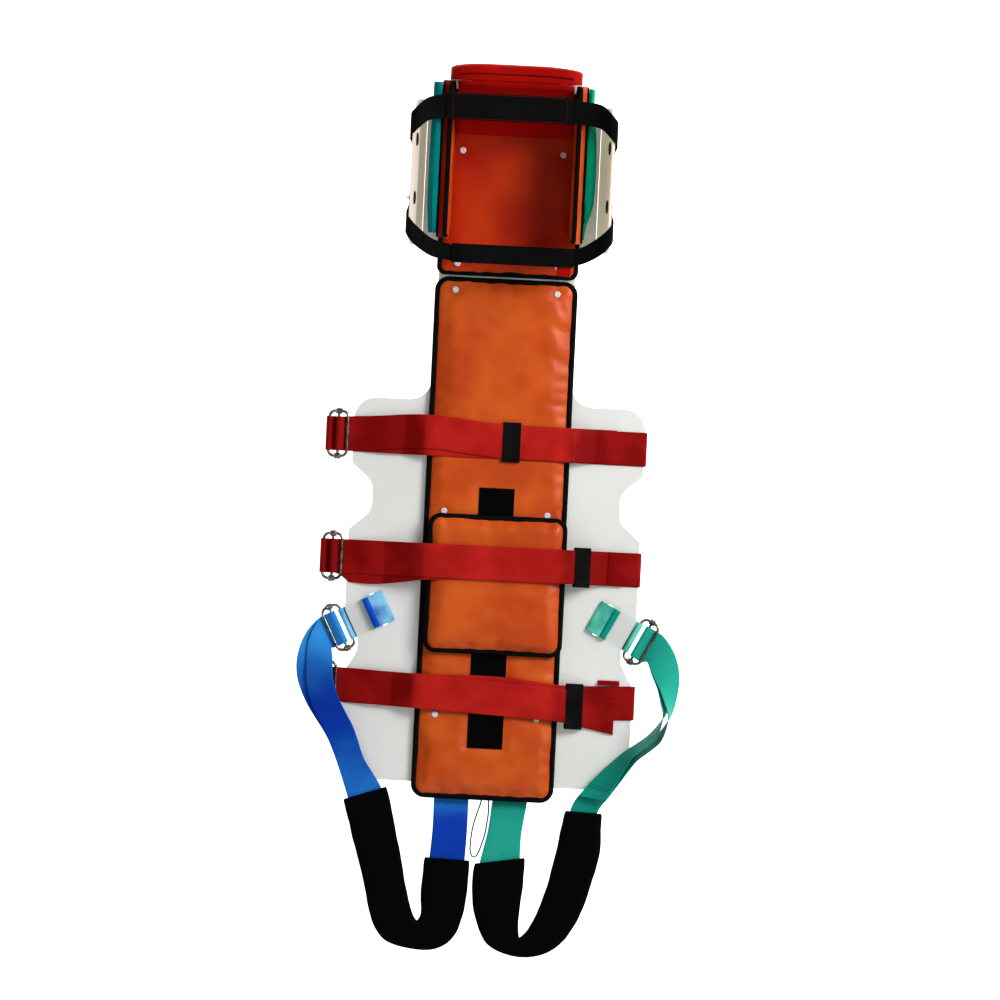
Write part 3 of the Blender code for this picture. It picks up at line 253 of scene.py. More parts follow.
def nap(name, light, dark, depth=0.5):
    """Hook-and-loop: matted fibres."""
    made = Recipe(name, light, 0.95, Specular_IOR_Level=0.05)
    fuzz = made.noise(1400, 4, rough=0.7)
    made.colour(made.mix(made.ramp(fuzz, 0.35, 0.7), dark, light))
    made.bump(made.noise(120, 3), 0.4, 0.5)
    made.bump(fuzz, depth, 0.9)
    return made.mat


def foam(name, light, dark):
    """Cut closed-cell foam: fine pores and a chalky surface."""
    made = Recipe(name, light, 0.85, Specular_IOR_Level=0.1, Subsurface_Weight=0.05)
    pores = made.cells(900)
    made.colour(made.mix(made.ramp(pores, 0.1, 0.6), dark, light))
    made.bump(made.noise(70, 3), 0.6, 0.4)
    made.bump(pores, 0.25, 0.7)
    return made.mat


def plastic(name, colour, alpha, painted_glow=0.0):
    """Translucent sheet: satin, faint rolling waves, hairline scuffs, and, where a glow is given, a painted beige glow
    from emission.
    """
    made = Recipe(name, colour, 0.4, Specular_IOR_Level=0.3, Alpha=alpha, Emission_Color=(*PAINTED_GLOW_BEIGE, 1),
                  Emission_Strength=painted_glow)
    cloud = made.ramp(made.noise(7, 3), 0.3, 0.7)
    made.colour(made.mix(cloud, colour, tuple(c * 0.93 for c in colour)))
    stretch = made.node("ShaderNodeMapping")
    stretch.inputs["Scale"].default_value = (260, 14, 90)
    stretch.inputs["Rotation"].default_value = (0, 0, 0.5)
    made.join(made.place(), stretch.inputs["Vector"])
    scuff = made.noise(1.0, 2, vector=stretch.outputs["Vector"])
    made.roughness(made.ramp(scuff, 0.35, 0.72, 0.34, 0.55))
    made.bump(made.noise(9, 2), 0.8, 0.25)
    made.bump(scuff, 0.05, 0.3)
    return made.mat


def metal(name, colour, dull):
    """Plated wire with brush lines and dark tarnish."""
    made = Recipe(name, colour, 0.28, Metallic=1.0)
    tarnish = made.ramp(made.noise(160, 4), 0.42, 0.72)
    made.colour(made.mix(tarnish, colour, dull))
    made.roughness(made.ramp(made.noise(500, 3), 0.3, 0.7, 0.2, 0.45))
    made.bump(made.noise(700, 2), 0.06, 0.5)
    return made.mat


def nylon(name, colour):
    made = Recipe(name, colour, 0.28, Subsurface_Weight=0.12, Coat_Weight=0.2, Coat_Roughness=0.2)
    made.colour(made.mix(made.ramp(made.noise(300, 2), 0.3, 0.7), colour, tuple(c * 0.9 for c in colour)))
    made.bump(made.noise(500, 2), 0.08, 0.4)
    return made.mat


def cloth_black(name):
    """Sleeve cover: dense twill that is nearly black."""
    made = Recipe(name, BLACK, 0.85, Specular_IOR_Level=0.08)
    made.colour(made.mix(made.ramp(made.noise(800, 2), 0.3, 0.7), BLACK, tuple(c * 2.2 for c in BLACK)))
    made.bump(made.noise(45, 4), 1.0, 0.5)
    made.bump(made.noise(1300, 2), 0.2, 0.7)
    return made.mat


VINYL = vinyl("orange_vinyl", ORANGE, ORANGE_DEEP)
# head pad vinyl: its redder, darker colours are painted shade; the paler part below the chin strap is painted light
HEAD_VINYL_PAINTED_SHADE = vinyl("head_pad_vinyl_painted_shade", HEAD_ORANGE_PAINTED_SHADE, HEAD_DEEP_PAINTED_SHADE, 0.42, 0.2, 7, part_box("chin_pad")[0][1] / MM)
# painted shade: a darker copy of the head vinyl for the left side pad's top and outer faces
PAINTED_SHADE_VINYL = vinyl("painted_shade_vinyl", HEAD_DEEP_PAINTED_SHADE, tuple(c * 0.6 for c in HEAD_DEEP_PAINTED_SHADE), 0.5, 0.1)
# painted shade: the head roll is orange vinyl in shade, given here as a dark red vinyl
ROLL_VINYL_PAINTED_SHADE = vinyl("roll_vinyl_painted_shade", ROLL_RED_PAINTED_SHADE, tuple(c * 0.7 for c in ROLL_RED_PAINTED_SHADE), 0.55, 0.08)
SEAM = Recipe("roll_seam", tuple(c * 0.15 for c in ROLL_RED_PAINTED_SHADE), 0.8, Specular_IOR_Level=0.05).mat
TAPE = weave("binding_tape", CHARCOAL, BLACK, 1.4, 1.2, 0.18, 0.8)
# red webbing: painted shade on the strap ends beyond 92 mm from the middle
RED_WEB = weave("red_webbing", RED, RED_DARK, 2.0, 1.7, 0.1, 0.6, (16, 0.35), 0.08, 92.0)
# leg webbing: the bands are painted shade and painted light along the strap's length
BLUE_WEB = weave("blue_webbing", BLUE, BLUE_DARK, 3.0, 2.4, 0.3, 0.5, (11, 0.25), 0.16,
                 painted_light_bands=((-215, -295, 0.75), (-335, -395, -0.5), (-430, -460, 0.5)))
GREEN_WEB = weave("green_webbing", GREEN, GREEN_DARK, 3.0, 2.4, 0.3, 0.5, (11, 0.25), 0.16,
                  painted_light_bands=((-250, -330, 0.35), (-430, -470, -0.35)))
BLUE_ANCHOR = weave("blue_anchor", ANCHOR_BLUE, BLUE_DARK, 3.0, 2.4, 0.2, 0.5, (30, 0.6), 0.12)
GREEN_ANCHOR = weave("green_anchor", ANCHOR_GREEN, GREEN_DARK, 3.0, 2.4, 0.2, 0.5, (30, 0.6), 0.12)
# painted shade: dark copies of the leg webbing for the shaded side of each anchor's fold
BLUE_FOLD_PAINTED_SHADE = weave("blue_fold_painted_shade", (0.01, 0.13, 0.66), BLUE_DARK, 3.0, 2.4, 0.2, 0.5, (30, 0.4), 0.12)
GREEN_FOLD_PAINTED_SHADE = weave("green_fold_painted_shade", (0.004, 0.30, 0.24), GREEN_DARK, 3.0, 2.4, 0.2, 0.5, (30, 0.4), 0.12)
BLACK_WEB = weave("black_webbing", CHARCOAL, BLACK, 2.0, 1.7, 0.25, 0.8)
NAP = nap("hook_and_loop", CHARCOAL, BLACK)
ELASTIC = weave("elastic_band", (0.012, 0.013, 0.012), BLACK, 1.6, 1.0, 0.25, 0.85)
LEFT_FOAM = foam("teal_foam", TEAL, tuple(c * 0.7 for c in TEAL))
RIGHT_FOAM = foam("green_foam", FOAM_GREEN, tuple(c * 0.6 for c in FOAM_GREEN))
BOARD = plastic("board_plastic", PLASTIC, 0.82)
# wings: the board's white sheet tinted darker beige as painted shade, with a painted glow from emission
WING_PAINTED_SHADE = plastic("wing_plastic_painted_shade", (PLASTIC[0] * 0.78, PLASTIC[1] * 0.72, PLASTIC[2] * 0.67), 0.98, 0.55)
METAL = metal("buckle_steel", STEEL, (0.07, 0.055, 0.04))
WHITE = nylon("white_nylon", NYLON)
SLEEVE = cloth_black("sleeve_cloth")
CORD = weave("cord_sheath", CHARCOAL, BLACK, 1.2, 0.8, 0.1, 0.7)
RED_THREAD = Recipe("red_thread", (0.2, 0.004, 0.004), 0.6, Specular_IOR_Level=0.1).mat
BLACK_THREAD = Recipe("black_thread", CHARCOAL, 0.6, Specular_IOR_Level=0.1).mat
DARK_RUBBER = Recipe("washer_rubber", (0.02, 0.02, 0.019), 0.6, Specular_IOR_Level=0.2).mat


# ---- mesh helpers ----
def finish_piece(obj, body, replaces=()):
    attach(obj, body)
    if replaces:
        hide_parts(*replaces)
    return obj


def mesh_piece(name, points, faces, mats, strand=None, face_mats=None, smooth=True):
    """A mesh object from points in mm; faces are turned outwards."""
    mesh = bpy.data.meshes.new(name)
    mesh.from_pydata([tuple(c * MM for c in p) for p in points], [], faces)
    mats = mats if isinstance(mats, (list, tuple)) else [mats]
    for mat in mats:
        mesh.materials.append(mat)
    if face_mats is not None:
        mesh.polygons.foreach_set("material_index", face_mats)
    if strand is not None:
        held = mesh.attributes.new("strand", "FLOAT_VECTOR", "POINT")
        held.data.foreach_set("vector", np.array(strand, np.float32).ravel() * MM)
    bm = bmesh.new()
    bm.from_mesh(mesh)
    bmesh.ops.recalc_face_normals(bm, faces=bm.faces[:])
    bm.to_mesh(mesh)
    bm.free()
    if smooth:
        mesh.shade_smooth()
        mesh.set_sharp_from_angle(angle=math.radians(50))
    obj = bpy.data.objects.new(name, mesh)
    bpy.context.scene.collection.objects.link(obj)
    return obj


def grid_faces(rows, cols, close_rows=False, close_cols=False):
    """Quads of a grid whose points are stored row by row."""
    faces = []
    for i in range(rows if close_rows else rows - 1):
        for k in range(cols if close_cols else cols - 1):
            a, b = i * cols, (i + 1) % rows * cols
            n = (k + 1) % cols
            faces.append((a + k, a + n, b + n, b + k))
    return faces


def cap(first, count):
    return tuple(first + k for k in range(count))


def box_mm(node):
    low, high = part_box(node)
    return [c / MM for c in low], [c / MM for c in high]


def wobble(x, y, z, size, seed=0.0):
    """Smooth noise from -1 to 1 with features of about size mm."""
    return noise.noise(Vector((x / size, y / size, z / size + 17.3 * seed)))


def subdivide(obj, levels=1):
    soft = obj.modifiers.new("soft", "SUBSURF")
    soft.levels = soft.render_levels = levels
    return obj


def step(edge0, edge1, x):
    t = min(max((x - edge0) / (edge1 - edge0), 0.0), 1.0)
    return t * t * (3 - 2 * t)


# ---- strips of webbing and tape ----
def spread(rows, pitch):
    """Centripetal Catmull-Rom curve through rows of numbers, with points at most pitch apart."""
    rows = [np.array(r, float) for r in rows]
    ends = [2 * rows[0] - rows[1]] + rows + [2 * rows[-1] - rows[-2]]
    knots = [0.0]
    for a, b in zip(ends, ends[1:]):
        knots.append(knots[-1] + max(np.linalg.norm(b - a), 1e-6) ** 0.5)
    curve = []
    for i in range(1, len(ends) - 2):
        p0, p1, p2, p3 = ends[i - 1:i + 3]
        t0, t1, t2, t3 = knots[i - 1:i + 3]
        steps = max(1, math.ceil(np.linalg.norm(p2[:3] - p1[:3]) / pitch))
        for k in range(steps):
            t = t1 + (t2 - t1) * k / steps
            a1 = (t1 - t) / (t1 - t0) * p0 + (t - t0) / (t1 - t0) * p1
            a2 = (t2 - t) / (t2 - t1) * p1 + (t - t1) / (t2 - t1) * p2
            a3 = (t3 - t) / (t3 - t2) * p2 + (t - t2) / (t3 - t2) * p3
            b1 = (t2 - t) / (t2 - t0) * a1 + (t - t0) / (t2 - t0) * a2
            b2 = (t3 - t) / (t3 - t1) * a2 + (t - t1) / (t3 - t1) * a3
            curve.append((t2 - t) / (t2 - t1) * b1 + (t - t1) / (t2 - t1) * b2)
    curve.append(rows[-1])
    return curve


def edge_pairs(node, start):
    """Both edge lines of a CAD ribbon, as rows of six numbers in mm, from the end nearest to start."""
    bm = bmesh.new()
    bm.from_mesh(frame["nodes"][node].data)
    bmesh.ops.remove_doubles(bm, verts=bm.verts[:], dist=1e-6)
    near = sorted(bm.verts, key=lambda v: (v.co / MM - Vector(start)).length)[:4]
    found, seen = [near], set(near)
    while True:
        after = {e.other_vert(v) for v in found[-1] for e in v.link_edges} - seen
        if len(after) != 4:
            break
        found.append(list(after))
        seen |= after
    tail = sorted((v for v in bm.verts if v not in seen), key=lambda v: v.co.z)[:4]
    if tail:
        found.append(tail)
    rows = []
    for corners in found:
        spots = [v.co / MM for v in corners]
        mate = min(spots[1:], key=lambda p: (p - spots[0]).length)
        others = [p for p in spots[1:] if p is not mate]
        a, b = (spots[0] + mate) / 2, (others[0] + others[1]) / 2
        if rows and (b - a).dot(Vector(rows[-1][3:]) - Vector(rows[-1][:3])) < 0:
            a, b = b, a
        rows.append([*a, *b])
    bm.free()
    return rows


SECTION = [(0.0, 0.25), (0.008, 0.72), (0.025, 1.0), (0.1, 1.0), (0.2, 1.0), (0.35, 1.0), (0.5, 1.0),
           (0.65, 1.0), (0.8, 1.0), (0.9, 1.0), (0.975, 1.0), (0.992, 0.72), (1.0, 0.25)]


def strip(name, rows, mat, thickness=WEB_T, pitch=5.0, ripple=0.15, smooth_ends=True, raise_by=0.0):
    """A woven strip with rounded edges between two edge lines."""
    curve = spread(rows, pitch)
    middles = [(c[:3] + c[3:]) / 2 for c in curve]
    points, coords = [], []
    run = 0.0
    last = len(curve) - 1
    section = [(t, h) for t, h in SECTION] + [(t, -h) for t, h in reversed(SECTION)]
    for i, row in enumerate(curve):
        if i:
            run += float(np.linalg.norm(middles[i] - middles[i - 1]))
        a, b = row[:3], row[3:]
        tangent = middles[min(i + 1, last)] - middles[max(i - 1, 0)]
        normal = np.cross(tangent, b - a)
        normal /= max(np.linalg.norm(normal), 1e-9)
        width = float(np.linalg.norm(b - a))
        thin = 0.55 if smooth_ends and i in (0, last) else 1.0
        for t, h in section:
            spot = a + (b - a) * t
            lift = h * thin * thickness / 2 + raise_by + ripple * wobble(*spot, 34.0)
            points.append(tuple(spot + normal * lift))
            coords.append((run, (t - 0.5) * width, 0.0))
    cols = len(section)
    faces = grid_faces(len(curve), cols, close_cols=True)
    faces += [cap(0, cols), cap(last * cols, cols)]
    return mesh_piece(name, points, faces, mat, coords)


def stitches(name, runs, mat, pitch=3.2, length=2.2, radius=0.32):
    """Rows of thread: each stitch is a small spindle along its run of (point, normal)."""
    points, faces = [], []
    for run in runs:
        for (p, n), (q, _) in zip(run, run[1:]):
            p, q, n = Vector(p), Vector(q), Vector(n).normalized()
            gap = (q - p).length
            along = (q - p).normalized()
            side = n.cross(along)
            for k in range(max(1, int(gap / pitch))):
                middle = p + along * (pitch * (k + 0.5))
                base = len(points)
                for at, size in ((-0.5, 0.35), (-0.25, 1.0), (0.25, 1.0), (0.5, 0.35)):
                    for j in range(6):
                        turn = math.pi * j / 3
                        lift = n * (math.sin(turn) * size * radius) + side * (math.cos(turn) * size * radius)
                        points.append(middle + along * (at * length) + lift)
                for r in range(3):
                    for j in range(6):
                        m = (j + 1) % 6
                        here = base + 6 * r
                        faces.append((here + j, here + m, here + 6 + m, here + 6 + j))
                faces += [cap(base, 6), cap(base + 18, 6)]
    return mesh_piece(name, points, faces, mat)


def normal_of(rows, at):
    """Upward normal of a strip at a row."""
    a, b = Vector(rows[at][:3]), Vector(rows[at][3:])
    ahead = rows[at + 1] if at + 1 < len(rows) and at >= 0 else rows[at]
    behind = rows[at] if ahead is not rows[at] else rows[at - 1]
    along = ((Vector(ahead[:3]) + Vector(ahead[3:])) - (Vector(behind[:3]) + Vector(behind[3:]))).normalized()
    return along.cross((b - a).normalized()).normalized()


# ---- padded pieces ----
def pad_rows(x0, x1, y0, y1, corner, pitch):
    """Rows of (x, y) points that fill a rounded rectangle."""
    ends = [corner * (1 - math.cos(math.radians(a))) for a in range(0, 90, 15)]
    count = max(2, round((y1 - y0 - 2 * corner) / pitch))
    middle = [y0 + corner + (y1 - y0 - 2 * corner) * k / count for k in range(count + 1)]
    cols = max(4, round((x1 - x0) / pitch))
    rows = []
    for y in [y0 + d for d in ends] + middle + [y1 - d for d in reversed(ends)]:
        near = max(corner - min(y - y0, y1 - y), 0)
        inset = corner - math.sqrt(max(corner ** 2 - near ** 2, 0))
        rows.append([(x0 + inset + (x1 - x0 - 2 * inset) * k / cols, y) for k in range(cols + 1)])
    return rows


def edge_distance(x, y, rect, corner):
    """Distance inwards from the edge of a rounded rectangle."""
    x0, x1, y0, y1 = rect
    qx = abs(x - (x0 + x1) / 2) - (x1 - x0) / 2 + corner
    qy = abs(y - (y0 + y1) / 2) - (y1 - y0) / 2 + corner
    return corner - math.hypot(max(qx, 0), max(qy, 0)) - min(max(qx, qy), 0)


def tufted(x, y, rivets, depth=2.2, reach=20.0):
    """Drop of the surface round rivets: a dimple with folds that run out from it."""
    drop = 0.0
    for rx, ry in rivets:
        r = math.hypot(x - rx, y - ry)
        if r > 5 * reach:
            continue
        turn = math.atan2(y - ry, x - rx)
        folds = 0.5 + 0.5 * math.cos(7 * turn + 2.1 * math.sin(rx + ry) + 0.04 * r)
        drop += depth * math.exp(-(r / reach) ** 1.1) + 1.3 * folds * math.exp(-r / 26) * step(2, 9, r)
    return drop


PADS = []


def pad(name, rect, corner, heights, mat, ceiling, rivets=(), pitch=6.0, slack=0.5, shoulder=26.0):
    """Closed padded form: heights are its base, its edge and its crown."""
    base, edge, crown = heights
    rows = pad_rows(*rect, corner, pitch)
    cols = len(rows[0])
    points = []
    for row in rows:
        for x, y in row:
            d = max(edge_distance(x, y, rect, corner), 0)
            lift = math.sqrt(1 - (1 - min(d / shoulder, 1)) ** 2)
            z = edge + (crown - edge) * lift - tufted(x, y, rivets) * step(0, 12, d)
            z += slack * wobble(x, y, 0, 55, 1) * lift
            points.append((x, y, min(z, ceiling(x, y))))
    top = len(points)
    points += [(x, y, base) for row in rows for x, y in row]
    faces = grid_faces(len(rows), cols)
    faces += [tuple(top + k for k in reversed(face)) for face in faces]
    rim = list(range(cols)) + [r * cols + cols - 1 for r in range(1, len(rows))]
    rim += [top - 1 - k for k in range(1, cols)] + [r * cols for r in range(len(rows) - 2, 0, -1)]
    faces += [(a, b, b + top, a + top) for a, b in zip(rim, rim[1:] + rim[:1])]
    obj = mesh_piece(name, points, faces, mat)
    held = obj.vertex_groups.new(name="held")
    on_rim = set(rim)
    pinned = [i for i, (x, y, _) in enumerate(points)
              if i >= top or i in on_rim or any(math.hypot(x - rx, y - ry) < 7 for rx, ry in rivets)]
    held.add(pinned, 1.0, "REPLACE")
    PADS.append((obj, ceiling, slack))
    return obj


def inflate():
    """Blow every pad up as cloth, held at its edge and rivets, then press it under its ceiling."""
    for obj, _, slack in PADS:
        cloth = obj.modifiers.new("cloth", "CLOTH")
        sheet = cloth.settings
        sheet.quality = 6
        sheet.mass = 0.25
        sheet.tension_stiffness = sheet.compression_stiffness = 18
        sheet.shear_stiffness = 8
        sheet.bending_stiffness = 0.35
        sheet.use_pressure = True
        sheet.uniform_pressure_force = 3.0
        sheet.vertex_group_mass = "held"
        sheet.shrink_min = -0.03 * slack
        sheet.effector_weights.gravity = 0
        cloth.collision_settings.use_collision = False
        cloth.collision_settings.use_self_collision = False
        cloth.point_cache.frame_start = 1
        cloth.point_cache.frame_end = SIM_FRAMES
    for number in range(1, SIM_FRAMES + 1):
        bpy.context.scene.frame_set(number)
    graph = bpy.context.evaluated_depsgraph_get()
    moved = {}
    for obj, ceiling, _ in PADS:
        blown = obj.evaluated_get(graph).to_mesh()
        moved[obj.name] = [v.co.copy() for v in blown.vertices]
    for obj, ceiling, _ in PADS:
        obj.modifiers.remove(obj.modifiers["cloth"])
        for vert, place in zip(obj.data.vertices, moved[obj.name]):
            shift = place - vert.co
            shift.z = min(shift.z, 6 * MM)
            vert.co += shift.normalized() * min(shift.length, 7 * MM) if shift.length > 0 else shift
            limit = ceiling(vert.co.x / MM, vert.co.y / MM) * MM
            if vert.co.z > limit:
                vert.co.z = limit + 0.08 * min(vert.co.z - limit, 2 * MM)
        obj.data.update()
    bpy.context.scene.frame_set(1)


def rounded_path(x0, x1, y0, y1, corner, pitch):
    """Closed path of (x, y, outward x, outward y) round a rectangle."""
    path = []
    for cx, cy, first in ((x1 - corner, y1 - corner, 0), (x0 + corner, y1 - corner, 90),
                          (x0 + corner, y0 + corner, 180), (x1 - corner, y0 + corner, 270)):
        for k in range(7):
            turn = math.radians(first + 15 * k)
            c, s = math.cos(turn), math.sin(turn)
            path.append((cx + corner * c, cy + corner * s, c, s))
    closed = []
    for a, b in zip(path, path[1:] + path[:1]):
        gap = math.hypot(b[0] - a[0], b[1] - a[1])
        count = max(1, round(gap / pitch))
        for k in range(count):
            t = k / count
            closed.append(tuple(p + (q - p) * t for p, q in zip(a, b)))
    return closed


def binding(name, rect, corner, z0, z1, mat, width=TAPE_W):
    """Tape folded round a pad's edge, a little wavy where it is sewn."""
    section = [(width, z1 - 1.6), (width - 0.7, z1 - 0.5), (width * 0.6, z1 + 0.1), (width * 0.3, z1 - 0.2),
               (1.2, z1 - 1.0), (0.3, z1 - 2.4), (0, (z0 + z1) / 2), (0.3, z0 + 1.8), (1.4, z0 + 0.2),
               (width * 0.5, z0), (width, z0)]
    points, coords = [], []
    run, before = 0.0, None
    path = rounded_path(*rect, corner, 5.0)
    for x, y, nx, ny in path:
        run += math.hypot(x - before[0], y - before[1]) if before else 0.0
        before = (x, y)
        wave = 0.45 * wobble(x, y, 0, 23, 2)
        for k, (u, z) in enumerate(section):
            inward = u + (wave if u > 2 else 0.3 * wave)
            lift = 0.25 * wobble(x, y, 0, 15, 3) if z > z1 - 2 else 0
            points.append((x - nx * inward, y - ny * inward, z + lift))
            coords.append((run, 2.0 * k, 0.0))
    return mesh_piece(name, points, grid_faces(len(path), len(section), True, True), mat, coords)


def piping(name, loop, across, mat, half=(3.4, 2.4), closed=True):
    """Tape rolled over an edge: an oval section carried round a list of points."""
    count, sides = len(loop), 12
    points, coords = [], []
    run = 0.0
    for i, here in enumerate(loop):
        back, ahead = loop[i - 1 if closed or i else 0], loop[(i + 1) % count if closed or i < count - 1 else i]
        along = (Vector(ahead) - Vector(back)).normalized()
        first = (Vector(across) - along * along.dot(Vector(across))).normalized()
        second = along.cross(first)
        run += (Vector(here) - Vector(loop[i - 1])).length if i else 0.0
        size = 1 + 0.07 * wobble(*here, 14, 4)
        for k in range(sides):
            turn = 2 * math.pi * k / sides
            spoke = first * math.cos(turn) * half[0] + second * math.sin(turn) * half[1]
            points.append(Vector(here) + spoke * size)
            coords.append((run, half[0] * turn, 0.0))
    faces = grid_faces(count, sides, closed, True)
    if not closed:
        faces += [cap(0, sides), cap((count - 1) * sides, sides)]
    return mesh_piece(name, points, faces, mat, coords)


def lofted(name, sections, mat):
    """Closed form through sections that have the same number of points."""
    count, sides = len(sections), len(sections[0])
    points = [p for section in sections for p in section]
    faces = grid_faces(count, sides, close_cols=True) + [cap(0, sides), cap((count - 1) * sides, sides)]
    return mesh_piece(name, points, faces, mat)


def round_outline(corners, pitch=4.0):
    """Closed 2-D outline with each corner (a, b, radius) rounded, and points along its sides."""
    corner_points = []
    count = len(corners)
    for i, (x, y, radius) in enumerate(corners):
        here = Vector((x, y))
        back = (Vector(corners[i - 1][:2]) - here).normalized()
        ahead = (Vector(corners[(i + 1) % count][:2]) - here).normalized()
        half = back.angle(ahead) / 2
        reach = radius / math.tan(half)
        for k in range(5):
            t = k / 4
            corner_points.append(here + back * reach * (1 - t) ** 2 + ahead * reach * t ** 2)
    outline = []
    for a, b in zip(corner_points, corner_points[1:] + corner_points[:1]):
        steps = max(1, round((b - a).length / pitch))
        outline += [a.lerp(b, k / steps) for k in range(steps)]
    return outline


# ---- board, wings and their hardware ----
def dress(node, mat, bevel=0.0):
    """A CAD node whose shape is right keeps it and gets its finish."""
    obj = frame["nodes"][node]
    obj.data.materials.clear()
    obj.data.materials.append(mat)
    if bevel:
        weld = obj.modifiers.new("weld", "WELD")
        weld.merge_threshold = 0.00001
        edge = obj.modifiers.new("edge", "BEVEL")
        edge.width = bevel * MM
        edge.segments = 2
        edge.limit_method = "ANGLE"
        edge.angle_limit = math.radians(35)
    return obj


def turned(name, profile, base, axis, mats, steps=24, face_rows=None):
    """A turned piece: (radius, height) profile about an axis through base."""
    axis = Vector(axis).normalized()
    first = axis.orthogonal().normalized()
    second = axis.cross(first)
    points, faces = [], []
    for radius, height in profile:
        for k in range(steps):
            turn = 2 * math.pi * k / steps
            points.append(Vector(base) + axis * height
                          + (first * math.cos(turn) + second * math.sin(turn)) * max(radius, 0.01))
    faces = grid_faces(len(profile), steps, close_cols=True)
    kinds = [face_rows[i // steps] if face_rows else 0 for i in range(len(faces))]
    faces += [cap(0, steps), cap((len(profile) - 1) * steps, steps)]
    kinds += [face_rows[0] if face_rows else 0, face_rows[-1] if face_rows else 0]
    return mesh_piece(name, points, faces, mats, face_mats=kinds)


def pad_rivet(number):
    low, high = box_mm(f"pad_rivet_{number}")
    x, y = (low[0] + high[0]) / 2, (low[1] + high[1]) / 2
    top, foot = high[2], low[2]
    profile = [(0, foot), (3.8, foot), (3.84, foot + 1.2), (2.0, foot + 1.25), (2.0, top - 1.45), (4.3, top - 1.4),
               (RIVET_R, top - 1.1), (4.75, top - 0.75), (4.2, top - 0.3), (3.2, top - 0.05), (2.2, top),
               (1.5, top - 0.06), (1.1, top - 0.35), (0, top - 0.4)]
    piece = turned(f"rivet_{number}", profile, (x, y, 0), (0, 0, 1), WHITE)
    finish_piece(piece, "root", [f"pad_rivet_{number}"])
    return x, y


def wing_rivet(label, side, number, hinge):
    node = f"wing_rivet_{label}_{number}"
    low, high = box_mm(node)
    centre = (Vector(low) + Vector(high)) / 2
    lean = math.radians(7)
    normal = Vector((side * math.cos(lean), 0, -math.sin(lean)))
    base = centre - normal * (centre - hinge).dot(normal)
    profile = [(0, -4.1), (4.0, -4.1), (8.2, -3.95), (9.7, -3.3), (10.0, -2.4), (2.0, -2.35), (2.0, 4.4), (4.6, 4.45),
               (RIVET_R, 4.9), (4.4, 5.7), (2.4, 6.2), (1.7, 6.8), (1.4, 9.0), (0.9, 9.4), (0, 9.4)]
    kinds = [0, 0, 0, 0, 0] + [1] * 9
    piece = turned(f"wing_button_{label}_{number}", profile, base, normal, [DARK_RUBBER, WHITE], face_rows=kinds)
    finish_piece(piece, f"wing_{label}", [node])


def oval_loop(centre, pull, side, half_p, half_s, corner):
    """Closed rounded-rectangle path in the plane of two directions."""
    loop = []
    for a, b, first in ((half_p - corner, half_s - corner, 0), (corner - half_p, half_s - corner, 90),
                        (corner - half_p, corner - half_s, 180), (half_p - corner, corner - half_s, 270)):
        for k in range(9):
            turn = math.radians(first + 90 * k / 8)
            loop.append(centre + pull * (a + corner * math.cos(turn)) + side * (b + corner * math.sin(turn)))
    return loop


def buckle(ring_node, bar_node, body, joint_axis):
    """Wire ring and the slide bar with a bead at each end that runs on it."""
    low, high = box_mm(ring_node)
    centre = (Vector(low) + Vector(high)) / 2
    pull = Vector(joint_axis).normalized()
    side = Vector((-pull.y, pull.x, 0)).normalized()
    loop = oval_loop(centre, pull, side, RING_PITCH / 2, RING_LONG / 2 - WIRE_R, RING_CORNER)
    normal = pull.cross(side)
    ring = piping(ring_node + "_wire", loop, normal, METAL, (WIRE_R, WIRE_R))
    finish_piece(ring, "root", [ring_node])
    low, high = box_mm(bar_node)
    middle = (Vector(low) + Vector(high)) / 2
    reach = RING_LONG / 2 - WIRE_R
    pieces = [turned("rod", [(0, -reach + 2.6), (2.0, -reach + 2.6), (2.0, reach - 2.6), (0, reach - 2.6)],
                     middle, side, METAL, 16)]
    bead = [(2.75, -4.4), (3.9, -4.5), (4.6, -3.6), (4.2, -2.5), (4.75, -1.3), (4.35, 0), (4.75, 1.3), (4.2, 2.5),
            (4.6, 3.6), (3.9, 4.5), (2.75, 4.4)]
    for end in (-1, 1):
        points, faces = [], []
        spot = middle + side * (reach * end)
        for radius, height in bead:
            for k in range(16):
                turn = 2 * math.pi * k / 16
                points.append(spot + pull * height + (side * math.cos(turn) + normal * math.sin(turn)) * radius)
        faces = grid_faces(len(bead), 16, close_rows=True, close_cols=True)
        pieces.append(mesh_piece("bead", points, faces, METAL))
    joined = join(pieces, bar_node + "_slider")
    finish_piece(joined, body, [bar_node])


def join(pieces, name):
    """Several closed shells as one object."""
    bm = bmesh.new()
    for piece in pieces:
        bm.from_mesh(piece.data)
    mesh = bpy.data.meshes.new(name)
    bm.to_mesh(mesh)
    bm.free()
    for mat in pieces[0].data.materials:
        mesh.materials.append(mat)
    mesh.set_sharp_from_angle(angle=math.radians(50))
    for piece in pieces:
        bpy.data.objects.remove(piece)
    made = bpy.data.objects.new(name, mesh)
    bpy.context.scene.collection.objects.link(made)
    return made


